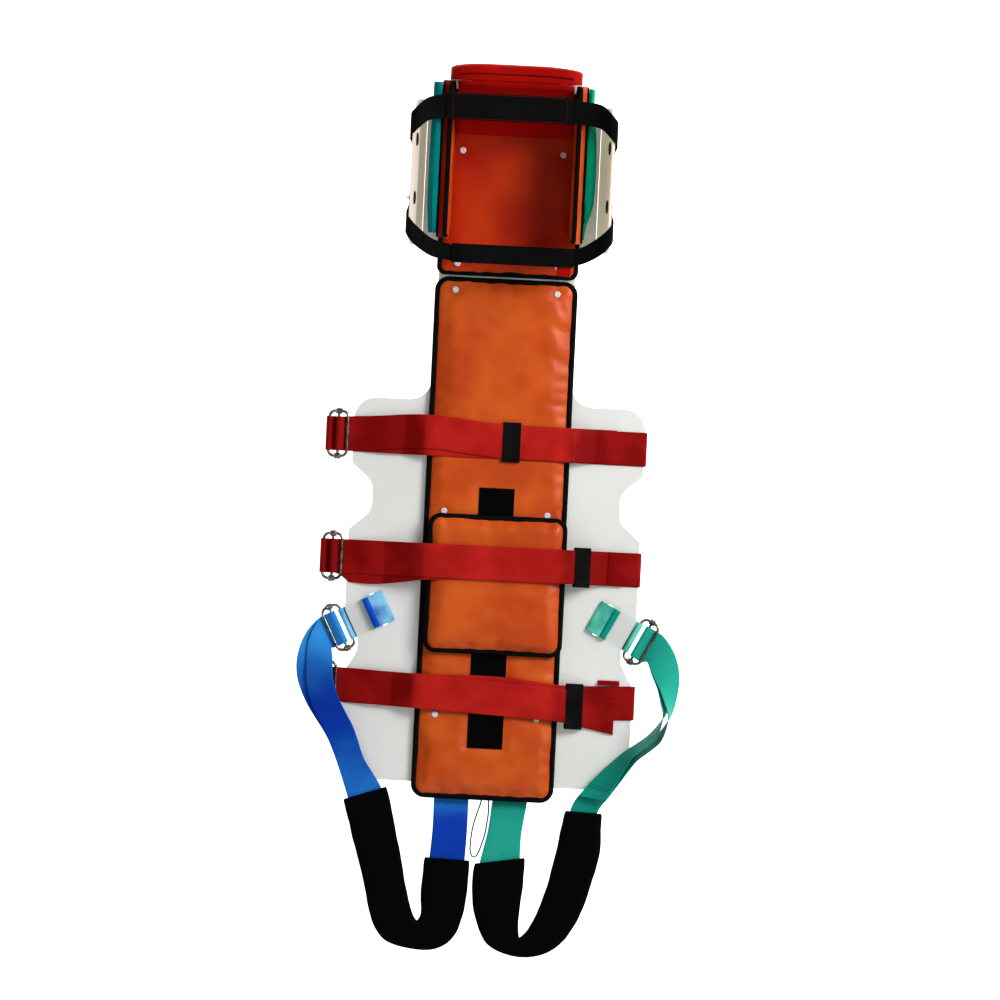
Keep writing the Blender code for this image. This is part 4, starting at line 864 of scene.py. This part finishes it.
# ---- torso and lumbar pads ----
def torso_pad(rivets):
    low, high = box_mm("torso_pad_binding")
    rect = (low[0], high[0], low[1], high[1])
    strip_low, strip_high = box_mm("loop_strip")
    strap_low, _ = box_mm("torso_strap_3")
    _, strap_high = box_mm("torso_strap_1")
    floor = strip_low[2] - 0.1

    def ceiling(x, y):
        free = max(step(strap_high[1] + 2, strap_high[1] + 40, y), step(strap_low[1] - 2, strap_low[1] - 34, y))
        top = 19.7 + 2.6 * free
        in_x = step(9, 2, max(strip_low[0] - x, x - strip_high[0], 0))
        in_y = step(9, 2, max(strip_low[1] - y, y - strip_high[1], 0))
        for rx, ry in rivets:
            top = min(top, floor + 0.1 + 0.6 * max(math.hypot(x - rx, y - ry) - 5.2, 0))
        return top + (floor - top) * in_x * in_y

    inner = (rect[0] + 4, rect[1] - 4, rect[2] + 4, rect[3] - 4)
    crown = high[2] + 4.6
    cover = pad("torso_cushion", inner, 16, (low[2], high[2] - 3, crown), VINYL, ceiling, rivets)
    finish_piece(cover, "root", ["torso_pad_cover", "torso_pad_foam"])
    tape = binding("torso_tape", rect, 20, low[2], high[2], TAPE)
    finish_piece(tape, "root", ["torso_pad_binding"])
    return [(cover, 0.5)]


def loop_strip():
    low, high = box_mm("loop_strip")
    rows = [(low[0], y, (low[2] + high[2]) / 2, high[0], y, (low[2] + high[2]) / 2)
            for y in (low[1], (low[1] + high[1]) / 2, high[1])]
    tape = strip("velcro_strip", rows, NAP, high[2] - low[2], 6.0, 0.05, False)
    finish_piece(tape, "root", ["loop_strip"])
    run = [[((x, y, high[2] + 0.05), (0, 0, 1)) for x, y in
            ((low[0] + 2.5, low[1] + 2.5), (high[0] - 2.5, low[1] + 2.5), (high[0] - 2.5, high[1] - 2.5),
             (low[0] + 2.5, high[1] - 2.5), (low[0] + 2.5, low[1] + 2.5))]]
    finish_piece(stitches("velcro_stitches", run, BLACK_THREAD), "root")


def lumbar_pad():
    low, high = box_mm("lumbar_pad_cover")
    strap_low, _ = box_mm("torso_strap_2")
    strap_y = (strap_low[1], strap_low[1] + 50)
    rect = (low[0], high[0], low[1], high[1])

    def ceiling(x, y):
        under = step(24, 6, max(strap_y[0] - y, y - strap_y[1], 0))
        return high[2] + 3.2 - 2.4 * under

    inner = (rect[0] + 4, rect[1] - 4, rect[2] + 4, rect[3] - 4)
    cover = pad("lumbar_cushion", inner, 15, (low[2] + 0.2, low[2] + 5.5, high[2] + 2.6), VINYL, ceiling, slack=0.4)
    finish_piece(cover, "lumbar_pad", ["lumbar_pad_cover"])
    tape = binding("lumbar_tape", rect, 18, low[2] + 0.1, low[2] + 8.6, TAPE)
    finish_piece(tape, "lumbar_pad")
    return [(cover, 0.65)]


# ---- head pieces ----
def head_pad(rivets):
    low, high = box_mm("head_pad_cover")
    rect = (low[0], high[0], low[1], high[1])
    inner_x = box_mm("side_pad_right_face")[0][0]

    def ceiling(x, y):
        top = high[2] + 2.0 - 1.7 * step(inner_x - 10, inner_x - 3, abs(x))
        for rx, ry in rivets:
            top = min(top, high[2] + 0.2 + 0.6 * max(math.hypot(x - rx, y - ry) - 5.2, 0))
        return top - 1.6 * step(558, 566, y)

    inner = (rect[0] + 4, rect[1] - 4, rect[2] + 4, rect[3] - 4)
    cover = pad("head_cushion", inner, 9, (low[2], high[2] - 5, high[2] + 2.2), HEAD_VINYL_PAINTED_SHADE, ceiling, rivets)
    finish_piece(cover, "root", ["head_pad_cover"])
    tape = binding("head_tape", rect, 12, low[2], low[2] + 9, TAPE)
    finish_piece(tape, "root")
    return [(cover, 0.5)]


def side_pad(label, side):
    """Vinyl block with taped edges round its inner and outer panels; side_foam makes the bare foam behind it."""
    body = f"wing_{label}"
    low, high = box_mm(f"side_pad_{label}_face")
    near, far = sorted((abs(low[0]), abs(high[0])))
    foot, top = low[2], high[2]
    corners = [(near, foot + 0.4, 3), (near + 6.0, top - 2, 4), (near + 9.5, top, 3), (far - 0.5, top - 9, 3),
               (far - 0.5, foot + 0.4, 2)]
    outline = round_outline(corners, 6.0)
    centre = sum(outline, Vector((0, 0))) / len(outline)
    sections = []
    ends = (0, 0.6, 2, 4.5, 8)
    length = high[1] - low[1]
    inner = [12 + (length - 24) * k / 34 for k in range(35)]
    for y in list(ends) + inner + [length - e for e in reversed(ends)]:
        d = min(y, length - y)
        small = 1 - 0.10 * (1 - step(0, 8, d))
        section = []
        for p in outline:
            q = centre + (p - centre) * small
            mid = step(foot, foot + 25, p.y) * step(top, top - 25, p.y) * step(0, 30, d)
            if p.x < centre.x:
                q.x -= 2.2 * mid + 0.7 * wobble(0, y, p.y, 38, 5 + side)
            section.append((side * q.x, low[1] + y, q.y))
        sections.append(section)
    block = lofted(f"side_cushion_{label}", sections, VINYL)
    # painted shade: on the left pad the faces past the inner top edge take the darker vinyl; the real pad is the same
    # orange
    if side < 0:
        block.data.materials.append(PAINTED_SHADE_VINYL)
        for face in block.data.polygons:
            if face.center.x < -(near + 8.5) * MM:
                face.material_index = 1
    finish_piece(block, body, [f"side_pad_{label}_face"])
    y0, y1 = low[1] + 3.5, high[1] - 3.5
    loops = {"inner": ((near + 5.0, foot + 2.4), (near + 7.2, top - 1.8)),
             "outer": ((far - 1.6, foot + 4), (far - 1.6, top - 8.6))}
    for which, ((xa, za), (xb, zb)) in loops.items():
        flat = round_outline([(y0, za, 7), (y1, za, 7), (y1, zb, 7), (y0, zb, 7)], 6.0)
        loop = [(side * (xa + (xb - xa) * (p.y - za) / (zb - za)), p.x, p.y) for p in flat]
        thick = (3.6, 3.4) if which == "inner" else (2.0, 2.6)
        tape = piping(f"side_tape_{label}_{which}", loop, (1, 0, 0), TAPE, thick)
        finish_piece(tape, body)


def side_foam(label, side, mat, bulge, taper):
    body = f"wing_{label}"
    low, high = box_mm(f"side_pad_{label}_foam")
    near, far = sorted((abs(low[0]), abs(high[0])))
    length = high[1] - low[1]
    sections = []
    for k in range(41):
        s = k / 40
        y = low[1] + length * s
        end = step(0, 0.03, s) * step(1, 0.97, s)
        width = (far - near - 4.5) * (1 - bulge + bulge * math.sin(math.pi * min(s * 1.15, 1)) ** 0.8)
        width *= 1 - taper * step(0.25, 0.0, s)
        top = high[2] + 1.5 - 9 * taper * step(0.22, 0.0, s) - 1.5 * (1 - end)
        outer = near + max(width, 2.0)
        waist = min(outer, 124.0 - 0.4)
        corners = [(near + 0.2, low[2] + 0.5, 1), (near + 0.2, top - 2, 2.5), (near + 2 + (waist - near) * 0.4, top, 3),
                   (waist - 0.2, top - 7, 5), (waist - 0.2, low[2] + 26, 3), (waist - 0.6, low[2] + 0.5, 1)]
        outline = round_outline(corners, 9.0)
        grow = 0.94 + 0.06 * end
        centre = sum(outline, Vector((0, 0))) / len(outline)
        sections.append([(side * (centre.x + (p.x - centre.x) * grow + 0.35 * wobble(p.x, y, p.y, 12, 6)), y,
                          centre.y + (p.y - centre.y) * (0.98 + 0.02 * end)) for p in outline])
    count = min(len(s) for s in sections)
    sections = [resample_loop(s, count) for s in sections]
    block = lofted(f"side_foam_{label}", sections, mat)
    finish_piece(block, body, [f"side_pad_{label}_foam"])


def resample_loop(loop, count):
    """The same closed loop with count points evenly spaced along it."""
    points = [Vector(p) for p in loop]
    lengths = [0.0]
    for a, b in zip(points, points[1:] + points[:1]):
        lengths.append(lengths[-1] + (b - a).length)
    made, i = [], 0
    for k in range(count):
        at = lengths[-1] * k / count
        while lengths[i + 1] < at:
            i += 1
        t = (at - lengths[i]) / max(lengths[i + 1] - lengths[i], 1e-9)
        made.append(tuple(points[i].lerp(points[(i + 1) % len(points)], t)))
    return made


def head_roll():
    """Bolster in a dark red vinyl that paints the shade of the orange vinyl: a sloping front panel between the side
    pads, a seam, and a full-width back.
    """
    low, high = box_mm("head_roll")
    _, side_high = box_mm("side_pad_right_face")
    shoulder = side_high[1] + 1.5
    half_front = box_mm("side_pad_right_face")[0][0] - 2.4
    top, foot = high[2], low[2]
    back = [(shoulder + 0.2, foot + 1, 2), (high[1] - 1, foot + 1, 6), (high[1] + 0.5, top * 0.5, 30),
            (high[1] - 0.5, top, 9), (shoulder + 0.2, top, 1.5)]
    front = [(low[1], 19.2, 1.5), (shoulder + 0.1, 19.2, 1), (shoulder + 0.1, top - 0.5, 1),
             (shoulder - 7, top - 2, 5), (low[1] + 14, 33, 14)]
    for name, section, half, puff in (("roll_back", back, high[0], 2.5), ("roll_front", front, half_front, 1.5)):
        outline = round_outline(section, 7.0)
        centre = sum(outline, Vector((0, 0))) / len(outline)
        sections = []
        for k in range(45):
            s = -1 + 2 * k / 44
            end = math.sqrt(max(1 - abs(s) ** (8 if name == "roll_back" else 14), 0))
            ring = []
            for p in outline:
                q = centre + (p - centre) * (0.76 + 0.24 * end if name == "roll_back" else 0.9 + 0.1 * end)
                if name == "roll_back":
                    if p.x > centre.x:
                        q.x += 1.6 - 5.0 * s ** 4
                    else:
                        q.x = p.x
                out = (p - centre).normalized() * (puff * 0.4 * wobble(half * s, p.x, p.y, 45, 7))
                if name == "roll_front" and p.x > shoulder - 2:
                    out = Vector((0, 0))
                ring.append((half * s, min(q.x + out.x, high[1] + 2), q.y + min(out.y, 1.5)))
            sections.append(ring)
        piece = lofted(name, sections, ROLL_VINYL_PAINTED_SHADE)
        finish_piece(piece, "root", ["head_roll"] if name == "roll_back" else [])
    seam = [(x, high[1] - 12.5 - 3 * (x / 84) ** 4 + 0.8 * wobble(x, 0, 0, 30, 8), top + 0.15)
            for x in range(-84, 85, 4)]
    piece = piping("roll_seam", seam, (0, 1, 0), SEAM, (0.8, 0.7), closed=False)
    finish_piece(piece, "root")


def head_strap(name, label, x_end, y, z):
    rows = edge_pairs(name, (x_end, y, z))
    piece = strip(name + "_web", rows, BLACK_WEB, ripple=0.25)
    finish_piece(piece, f"wing_{label}", [name])
    return rows


def head_straps():
    fore_low, fore_high = box_mm("forehead_pad")
    chin_low, chin_high = box_mm("chin_pad")
    ends = {"left": (fore_low[0], chin_low[0]), "right": (fore_high[0], chin_high[0])}
    for label, (fore_x, chin_x) in ends.items():
        head_strap(f"forehead_strap_{label}", label, fore_x, (fore_low[1] + fore_high[1]) / 2 - 1,
                   (fore_low[2] + fore_high[2]) / 2)
        head_strap(f"chin_strap_{label}", label, chin_x, (chin_low[1] + chin_high[1]) / 2,
                   (chin_low[2] + chin_high[2]) / 2)
    for name, node, low, high, mat in (("forehead_cushion", "forehead_pad", fore_low, fore_high, BLACK_WEB),
                                       ("chin_cushion", "chin_pad", chin_low, chin_high, BLACK_WEB)):
        middle = (low[2] + high[2]) / 2
        y0, y1 = low[1], high[1]
        rows = [(x, y0, middle, x, y1, middle) for x in (low[0] - 0.25, low[0] + 1, (low[0] + high[0]) / 2,
                                                        high[0] - 1, high[0] + 2.5)]
        piece = strip(name, rows, mat, high[2] - low[2], 6.0, 0.4, smooth_ends=False)
        finish_piece(piece, "wing_right", [node])
        inset = 9.0
        runs = []
        for x in (low[0] + inset, high[0] - inset + 2):
            runs.append([((x, y0 + 2, high[2] + 0.35), (0, 0, 1)), ((x, y1 - 2, high[2] + 0.35), (0, 0, 1))])
        for y in (y0 + 2.0, y1 - 2.0):
            runs.append([((low[0] + inset, y, high[2] + 0.3), (0, 0, 1)),
                         ((high[0] - inset, y, high[2] + 0.3), (0, 0, 1))])
        thread = RED_THREAD if node == "forehead_pad" else BLACK_THREAD
        if node == "chin_pad":
            flap = [(high[0] - 22, y, z, high[0] - 1, y - 2, z) for y, z in
                    ((y0 + 6, low[2] - 1.5), (y0 - 1, low[2] - 2.5), (y0 - 9, low[2] - 8), (y0 - 12, low[2] - 15))]
            # the flap takes the same dark red vinyl that paints shade on the head roll
            finish_piece(strip("chin_flap", flap, ROLL_VINYL_PAINTED_SHADE), "wing_right")
        finish_piece(stitches(name + "_thread", runs, thread, 2.6, 2.2, 0.45), "wing_right")


# ---- torso straps ----
def tail_of(curve, length, from_end=True):
    """The rows of a curve within a length of its end."""
    rows = list(reversed(curve)) if from_end else list(curve)
    kept, run = [rows[0]], 0.0
    for a, b in zip(rows, rows[1:]):
        run += float(np.linalg.norm((b[:3] + b[3:]) / 2 - (a[:3] + a[3:]) / 2))
        kept.append(b)
        if run >= length:
            break
    return list(reversed(kept)) if from_end else kept


def folded_tip(name, curve, mat, thread, body, length=22.0, up=1.0):
    """The free end turned over and sewn: a second layer on top and two rows of stitches."""
    rows = tail_of(curve, length)
    piece = strip(name, rows, mat, WEB_T, 5.0, 0.1, raise_by=up * (WEB_T + 0.1))
    finish_piece(piece, body)
    lift = up * (WEB_T * 1.5 + 0.2)
    runs = []
    for at in (1, max(2, len(rows) // 3)):
        normal = normal_of([list(r) for r in rows], at)
        a, b = Vector(rows[at][:3]), Vector(rows[at][3:])
        runs.append([(a + (b - a) * reach + normal * lift, normal * up) for reach in (0.05, 0.95)])
    finish_piece(stitches(name + "_thread", runs, thread, 3.0, 2.3, 0.35), body)


# how far the lower and upper layer of each torso strap lie aside: (distance, middle x, spread)
ASIDE = {1: ((0, 0, 1), (9, -108, 72)), 2: ((-14, -185, 78), (0, 0, 1)), 3: ((7, 15, 85), (0, 0, 1))}
RING_SIDE_X = -222.0
BOW = 5.0


def slackened(number, curve):
    """Layers that lie a little aside of each other and bow up between the ring and the pad."""
    turn = min(range(len(curve)), key=lambda i: curve[i][0])
    pad_edge = box_mm("torso_pad_binding")[0][0] - 4
    for i, row in enumerate(curve):
        if row[2] < 5:
            continue
        far, middle, wide = ASIDE[number][0 if i < turn else 1]
        x = row[0]
        free = step(RING_SIDE_X - 10, RING_SIDE_X + 14, x)
        row[[1, 4]] += far * math.exp(-((x - middle) / wide) ** 2) * free
        between = min(max((x - RING_SIDE_X) / (pad_edge - RING_SIDE_X), 0), 1)
        row[[2, 5]] += BOW * math.sin(math.pi * between) ** 2
    return curve


def torso_strap(number):
    node = f"torso_strap_{number}"
    low, high = box_mm(f"torso_ring_{number}")
    y = (low[1] + high[1]) / 2
    rows = edge_pairs(node, (-160, y, 0.75) if number < 3 else (-160, -43 - 225.2, 0.75))
    curve = slackened(number, spread(rows, 5.0))
    piece = strip(node + "_web", curve, RED_WEB, pitch=5.0, ripple=0.15)
    finish_piece(piece, "root", [node])
    folded_tip(f"strap_tip_{number}", curve, RED_WEB, RED_THREAD, "root")
    node = f"torso_anchor_{number}"
    rows = edge_pairs(node, (box_mm(node)[1][0], y, 0.75))
    piece = strip(node + "_web", rows, RED_WEB, pitch=3.0, ripple=0.08)
    finish_piece(piece, "root", [node])


def keeper(number):
    """Black elastic band round both layers of a torso strap."""
    node = f"strap_keeper_{number}"
    bm = bmesh.new()
    bm.from_mesh(frame["nodes"][node].data)
    bmesh.ops.remove_doubles(bm, verts=bm.verts[:], dist=1e-6)
    spots = [v.co / MM for v in bm.verts]
    bm.free()
    axis = Vector(next(j["axis"] for j in frame["joints"] if j["name"] == f"keeper_{number}_slide")).normalized()
    centre = sum(spots, Vector()) / len(spots)
    across = Vector((0, 1, 0))
    normal = axis.cross(across)
    half_w = max(abs((p - centre).dot(axis)) for p in spots)
    half_y = max(abs((p - centre).dot(across)) for p in spots)
    half_n = max(abs((p - centre).dot(normal)) for p in spots)
    rings = []
    wall = 1.0
    for u, extra in ((-1, -wall), (-1, -0.25), (-0.96, 0), (-0.5, 0.1), (0, 0.0), (0.5, 0.12), (0.96, 0), (1, -0.25),
                     (1, -wall)):
        ring = round_outline([(-half_y - extra, -half_n - extra, 1.2), (half_y + extra, -half_n - extra, 1.2),
                              (half_y + extra, half_n + extra, 1.2), (-half_y - extra, half_n + extra, 1.2)], 4.0)
        rings.append([centre + axis * (u * half_w) + across * p.x + normal * p.y for p in resample_flat(ring, 44)])
    points = [p for ring in rings for p in ring]
    faces = grid_faces(len(rings), 44, close_rows=True, close_cols=True)
    coords = [(2.7 * k, (p - centre).dot(axis), 0.0) for ring in rings for k, p in enumerate(ring)]
    piece = mesh_piece(f"keeper_band_{number}", points, faces, ELASTIC, coords)
    finish_piece(piece, f"keeper_{number}", [node])


def resample_flat(outline, count):
    return [Vector(p[:2]) for p in resample_loop([(p.x, p.y, 0) for p in outline], count)]


def wing_crease(label):
    """Thin bead of sheet along the fold, which closes the slit between the board and the wing."""
    joint = next(j for j in frame["joints"] if j["name"] == f"wing_{label}_fold")
    low, high = box_mm(f"head_wing_{label}")
    centre = Vector(joint["pos_m"]) / MM
    ends = (low[1] + 1.0, high[1] - 1.0)
    rings = []
    for k in range(25):
        y = ends[0] + (ends[1] - ends[0]) * k / 24
        rings.append([(centre.x + 1.7 * math.cos(a), y, centre.z + 1.7 * math.sin(a))
                      for a in (2 * math.pi * m / 12 for m in range(12))])
    piece = lofted(f"wing_crease_{label}", rings, WING_PAINTED_SHADE)
    finish_piece(piece, "root")


def red_tab():
    """Small folded tab sewn behind the foot-end strap, seen just above it."""
    x0, x1 = 162.0, 194.0
    y0, y1 = -248.6, -242.4
    path = [(y0, 6.9), (y0 + 3, 6.9), (y1 - 1.5, 6.95), (y1, 7.6), (y1 + 0.3, 8.4), (y1 - 0.6, 9.2), (y0 + 3, 9.5),
            (y0, 9.5)]
    rows = [(x0, y, z, x1, y, z) for y, z in path]
    finish_piece(strip("strap_tab", rows, RED_WEB, pitch=1.5, ripple=0.05), "root")


# ---- leg straps ----
def leg_strap(label, side, mat, anchor_mat, painted_shade_fold_mat, slot):
    node = f"leg_strap_{label}"
    foot_x = {"left": -44.5, "right": 44.5}[label]
    rows = edge_pairs(node, (foot_x, -343, 0.85))
    finish_piece(strip(node + "_web", rows, mat, pitch=5.0, ripple=0.25), "root", [node])
    folded_tip(f"leg_tip_{label}", spread(rows, 5.0), mat, BLACK_THREAD, "root")
    node = f"leg_anchor_{label}"
    axis = next(j["axis"] for j in frame["joints"] if j["name"] == f"leg_bar_{label}_slide")
    pull = Vector((axis[0], axis[1], 0)).normalized()
    slot_at = Vector((side * 165, -153, 7.05))
    anchor = edge_pairs(node, slot_at - pull * 5)
    finish_piece(strip(node + "_web", anchor, anchor_mat, pitch=3.0, ripple=0.06), "root", [node])
    across = Vector((-pull.y, pull.x, 0)) * 23
    curl = []
    for p, z in ((16.0, 5.4), (14.5, 7.0), (11.5, 7.9), (8.8, 7.4), (7.6, 6.0)):
        middle = slot_at + pull * p + Vector((0, 0, z))
        curl.append([*(middle - across), *(middle + across)])
    # the curl takes the darker fold webbing, painted shade of its shaded side
    finish_piece(strip(node + "_curl", curl, painted_shade_fold_mat, pitch=1.5, ripple=0.05), "root")
    return rows


def sleeve(label, rows):
    """Padded tube over the webbing, crumpled at its bend, with turned-in ends."""
    height, thick, wall = 7.2, 6.8, 7.5
    held = [i for i, r in enumerate(rows) if abs((r[2] + r[5]) / 2 - height) < 0.02]
    run = rows[held[0]:held[-1] + 1]
    wide = []
    for row in run:
        a, b = Vector(row[:3]), Vector(row[3:])
        step_out = (b - a).normalized() * wall
        a, b = a - step_out, b + step_out
        wide.append([a.x, a.y, height, b.x, b.y, height])
    curve = spread(wide, 6.0)
    sides = 28
    outer, tunnel, coords = [], [], []
    length = 0.0
    last = len(curve) - 1
    middles = [(Vector(c[:3]) + Vector(c[3:])) / 2 for c in curve]
    for i, row in enumerate(curve):
        length += (middles[i] - middles[i - 1]).length if i else 0.0
        a, b = Vector(row[:3]), Vector(row[3:])
        across = b - a
        half = across.length / 2
        across.normalize()
        near_end = min(i, last - i)
        hem = 1.0 if near_end > 3 else 0.93
        ring, inner = [], []
        for k in range(sides):
            turn = 2 * math.pi * k / sides
            c, s = math.cos(turn), math.sin(turn)
            u = math.copysign(abs(c) ** 0.45, c)
            h = math.copysign(abs(s) ** 0.75, s)
            spot = middles[i] + across * (u * half)
            folds = 1.6 * wobble(spot.x, spot.y, 3 * h, 20, 9) + 0.8 * wobble(spot.x, spot.y, 5 * h, 8, 10)
            puff = folds * step(0, 4, near_end)
            lift = h * (thick * hem + (0.35 * puff if h > 0 else 0))
            ring.append(middles[i] + across * (u * (half + 0.55 * puff)) + Vector((0, 0, max(lift, 0.4 - height))))
            inner.append(middles[i] + across * (u * (half - 4.5)) + Vector((0, 0, h * 1.9)))
            coords.append((length, half * turn, 0.0))
        outer.append(ring)
        tunnel.append(inner)
    lips = []
    for i in (0, last):
        away = (middles[i] - middles[1 if i == 0 else last - 1]).normalized()
        lips.append([[tunnel[i][k].lerp(outer[i][k], t) + away * push for k in range(sides)]
                     for t, push in ((0.35, 1.6), (0.75, 1.7))])
    rings = outer + [lips[1][1], lips[1][0]] + tunnel[::-1] + [lips[0][0], lips[0][1]]
    points = [p for ring in rings for p in ring]
    piece = mesh_piece(f"sleeve_{label}", points, grid_faces(len(rings), sides, True, True), SLEEVE)
    subdivide(piece)
    finish_piece(piece, "root", [f"leg_sleeve_{label}"])
    return curve


# ---- cord ----
TETHER = [(2, -360.4, 3.4), (1, -372, 2.6), (-1, -387, 1.6), (-6, -404, 1.2), (-11, -424, 1.2),
          (-13, -444, 1.2), (-13, -458, 1.2), (-10, -466, 1.3), (-5.5, -467, 1.4), (-1, -460, 1.3),
          (3, -448, 1.2), (7, -434, 1.2), (9.5, -416, 1.2), (11, -400, 1.2), (10.5, -384, 1.6),
          (9, -370, 2.6), (8, -360.4, 3.4)]
WAIST_Y = -43.0


def tether():
    """Thin cord looped from the board's foot down to the sleeves and back."""
    route = [np.array((x, WAIST_Y + v, z, 0, 0, 0), float) for x, v, z in TETHER]
    points = [Vector(p[:3]) * MM for p in spread(route, 5.0)]
    curve = bpy.data.curves.new("tether_cord", "CURVE")
    curve.dimensions = "3D"
    curve.bevel_depth = MM
    curve.bevel_resolution = 3
    curve.use_fill_caps = True
    spline = curve.splines.new("POLY")
    spline.points.add(len(points) - 1)
    for point, place in zip(spline.points, points):
        point.co = (*place, 1)
    curve.materials.append(CORD)
    cord = bpy.data.objects.new("tether_cord", curve)
    bpy.context.scene.collection.objects.link(cord)
    finish_piece(cord, "root", ["foot_tether"])


# ---- stage ----
def stage():
    floor_mat = bpy.data.materials.new("floor")
    floor_mat.use_nodes = True
    shader = floor_mat.node_tree.nodes["Principled BSDF"]
    shader.inputs["Base Color"].default_value = (0.9, 0.9, 0.9, 1)
    shader.inputs["Roughness"].default_value = 0.9
    shader.inputs["Emission Color"].default_value = (1, 1, 1, 1)
    shader.inputs["Emission Strength"].default_value = 1.0
    bpy.ops.mesh.primitive_plane_add(size=30, location=(0, 0, CAD_BOX[0].z - 0.0004))
    floor = bpy.context.object
    floor.name = "floor"
    floor.data.materials.append(floor_mat)
    world = bpy.data.worlds.new("studio")
    bpy.context.scene.world = world
    world.use_nodes = True
    world.node_tree.nodes["Background"].inputs["Color"].default_value = (0.97, 0.98, 1.0, 1)
    world.node_tree.nodes["Background"].inputs["Strength"].default_value = 0.27
    for name, place, size, power in (("key", (1.75, 1.15, 1.9), 1.2, 60), ("fill", (0.2, -2.2, 2.4), 2.4, 16)):
        lamp = bpy.data.lights.new(name, "AREA")
        lamp.size = size
        lamp.energy = power
        light = bpy.data.objects.new(name, lamp)
        light.location = place
        light.rotation_euler = (Vector((0, 0.1, 0)) - Vector(place)).to_track_quat("-Z", "Y").to_euler()
        bpy.context.scene.collection.objects.link(light)
    lens = bpy.data.cameras.new("camera")
    lens.type = "ORTHO"
    lens.ortho_scale = 1.47
    camera = bpy.data.objects.new("camera", lens)
    camera.location = (0.00556, 0.01614, 3.0)
    camera.rotation_euler = (0, 0, math.radians(2.807))
    bpy.context.scene.collection.objects.link(camera)
    bpy.context.scene.camera = camera
    bpy.context.scene.view_settings.view_transform = "Standard"
    bpy.context.scene.view_settings.look = "Medium High Contrast"


# ---- the whole object ----
stage()
tether()
dress("torso_board", BOARD, 0.7)
joints = {j["name"]: j for j in frame["joints"]}
for label, side in (("left", -1), ("right", 1)):
    dress(f"head_wing_{label}", WING_PAINTED_SHADE, 0.7)
    hinge = Vector(joints[f"wing_{label}_fold"]["pos_m"]) / MM
    for number in (1, 2):
        wing_rivet(label, side, number, hinge)
    side_pad(label, side)
rivet_places = [pad_rivet(number) for number in range(1, 11)]
side_foam("left", -1, LEFT_FOAM, 0.12, 0.1)
side_foam("right", 1, RIGHT_FOAM, 0.45, 0.8)
cushions = torso_pad(rivet_places[:6]) + lumbar_pad() + head_pad(rivet_places[6:])
inflate()
for cushion, fill in cushions:
    subdivide(cushion)
loop_strip()
head_roll()
head_straps()
for number in (1, 2, 3):
    torso_strap(number)
    keeper(number)
    buckle(f"torso_ring_{number}", f"torso_bar_{number}", f"torso_bar_{number}",
           joints[f"torso_bar_{number}_slide"]["axis"])
red_tab()
wing_crease("left")
wing_crease("right")
for label, side, mats, slot in (("left", -1, (BLUE_WEB, BLUE_ANCHOR, BLUE_FOLD_PAINTED_SHADE), "blue_webbing"),
                                ("right", 1, (GREEN_WEB, GREEN_ANCHOR, GREEN_FOLD_PAINTED_SHADE), "green_webbing")):
    sleeve(label, leg_strap(label, side, *mats, slot))
    buckle(f"leg_ring_{label}", f"leg_bar_{label}", f"leg_bar_{label}", joints[f"leg_bar_{label}_slide"]["axis"])
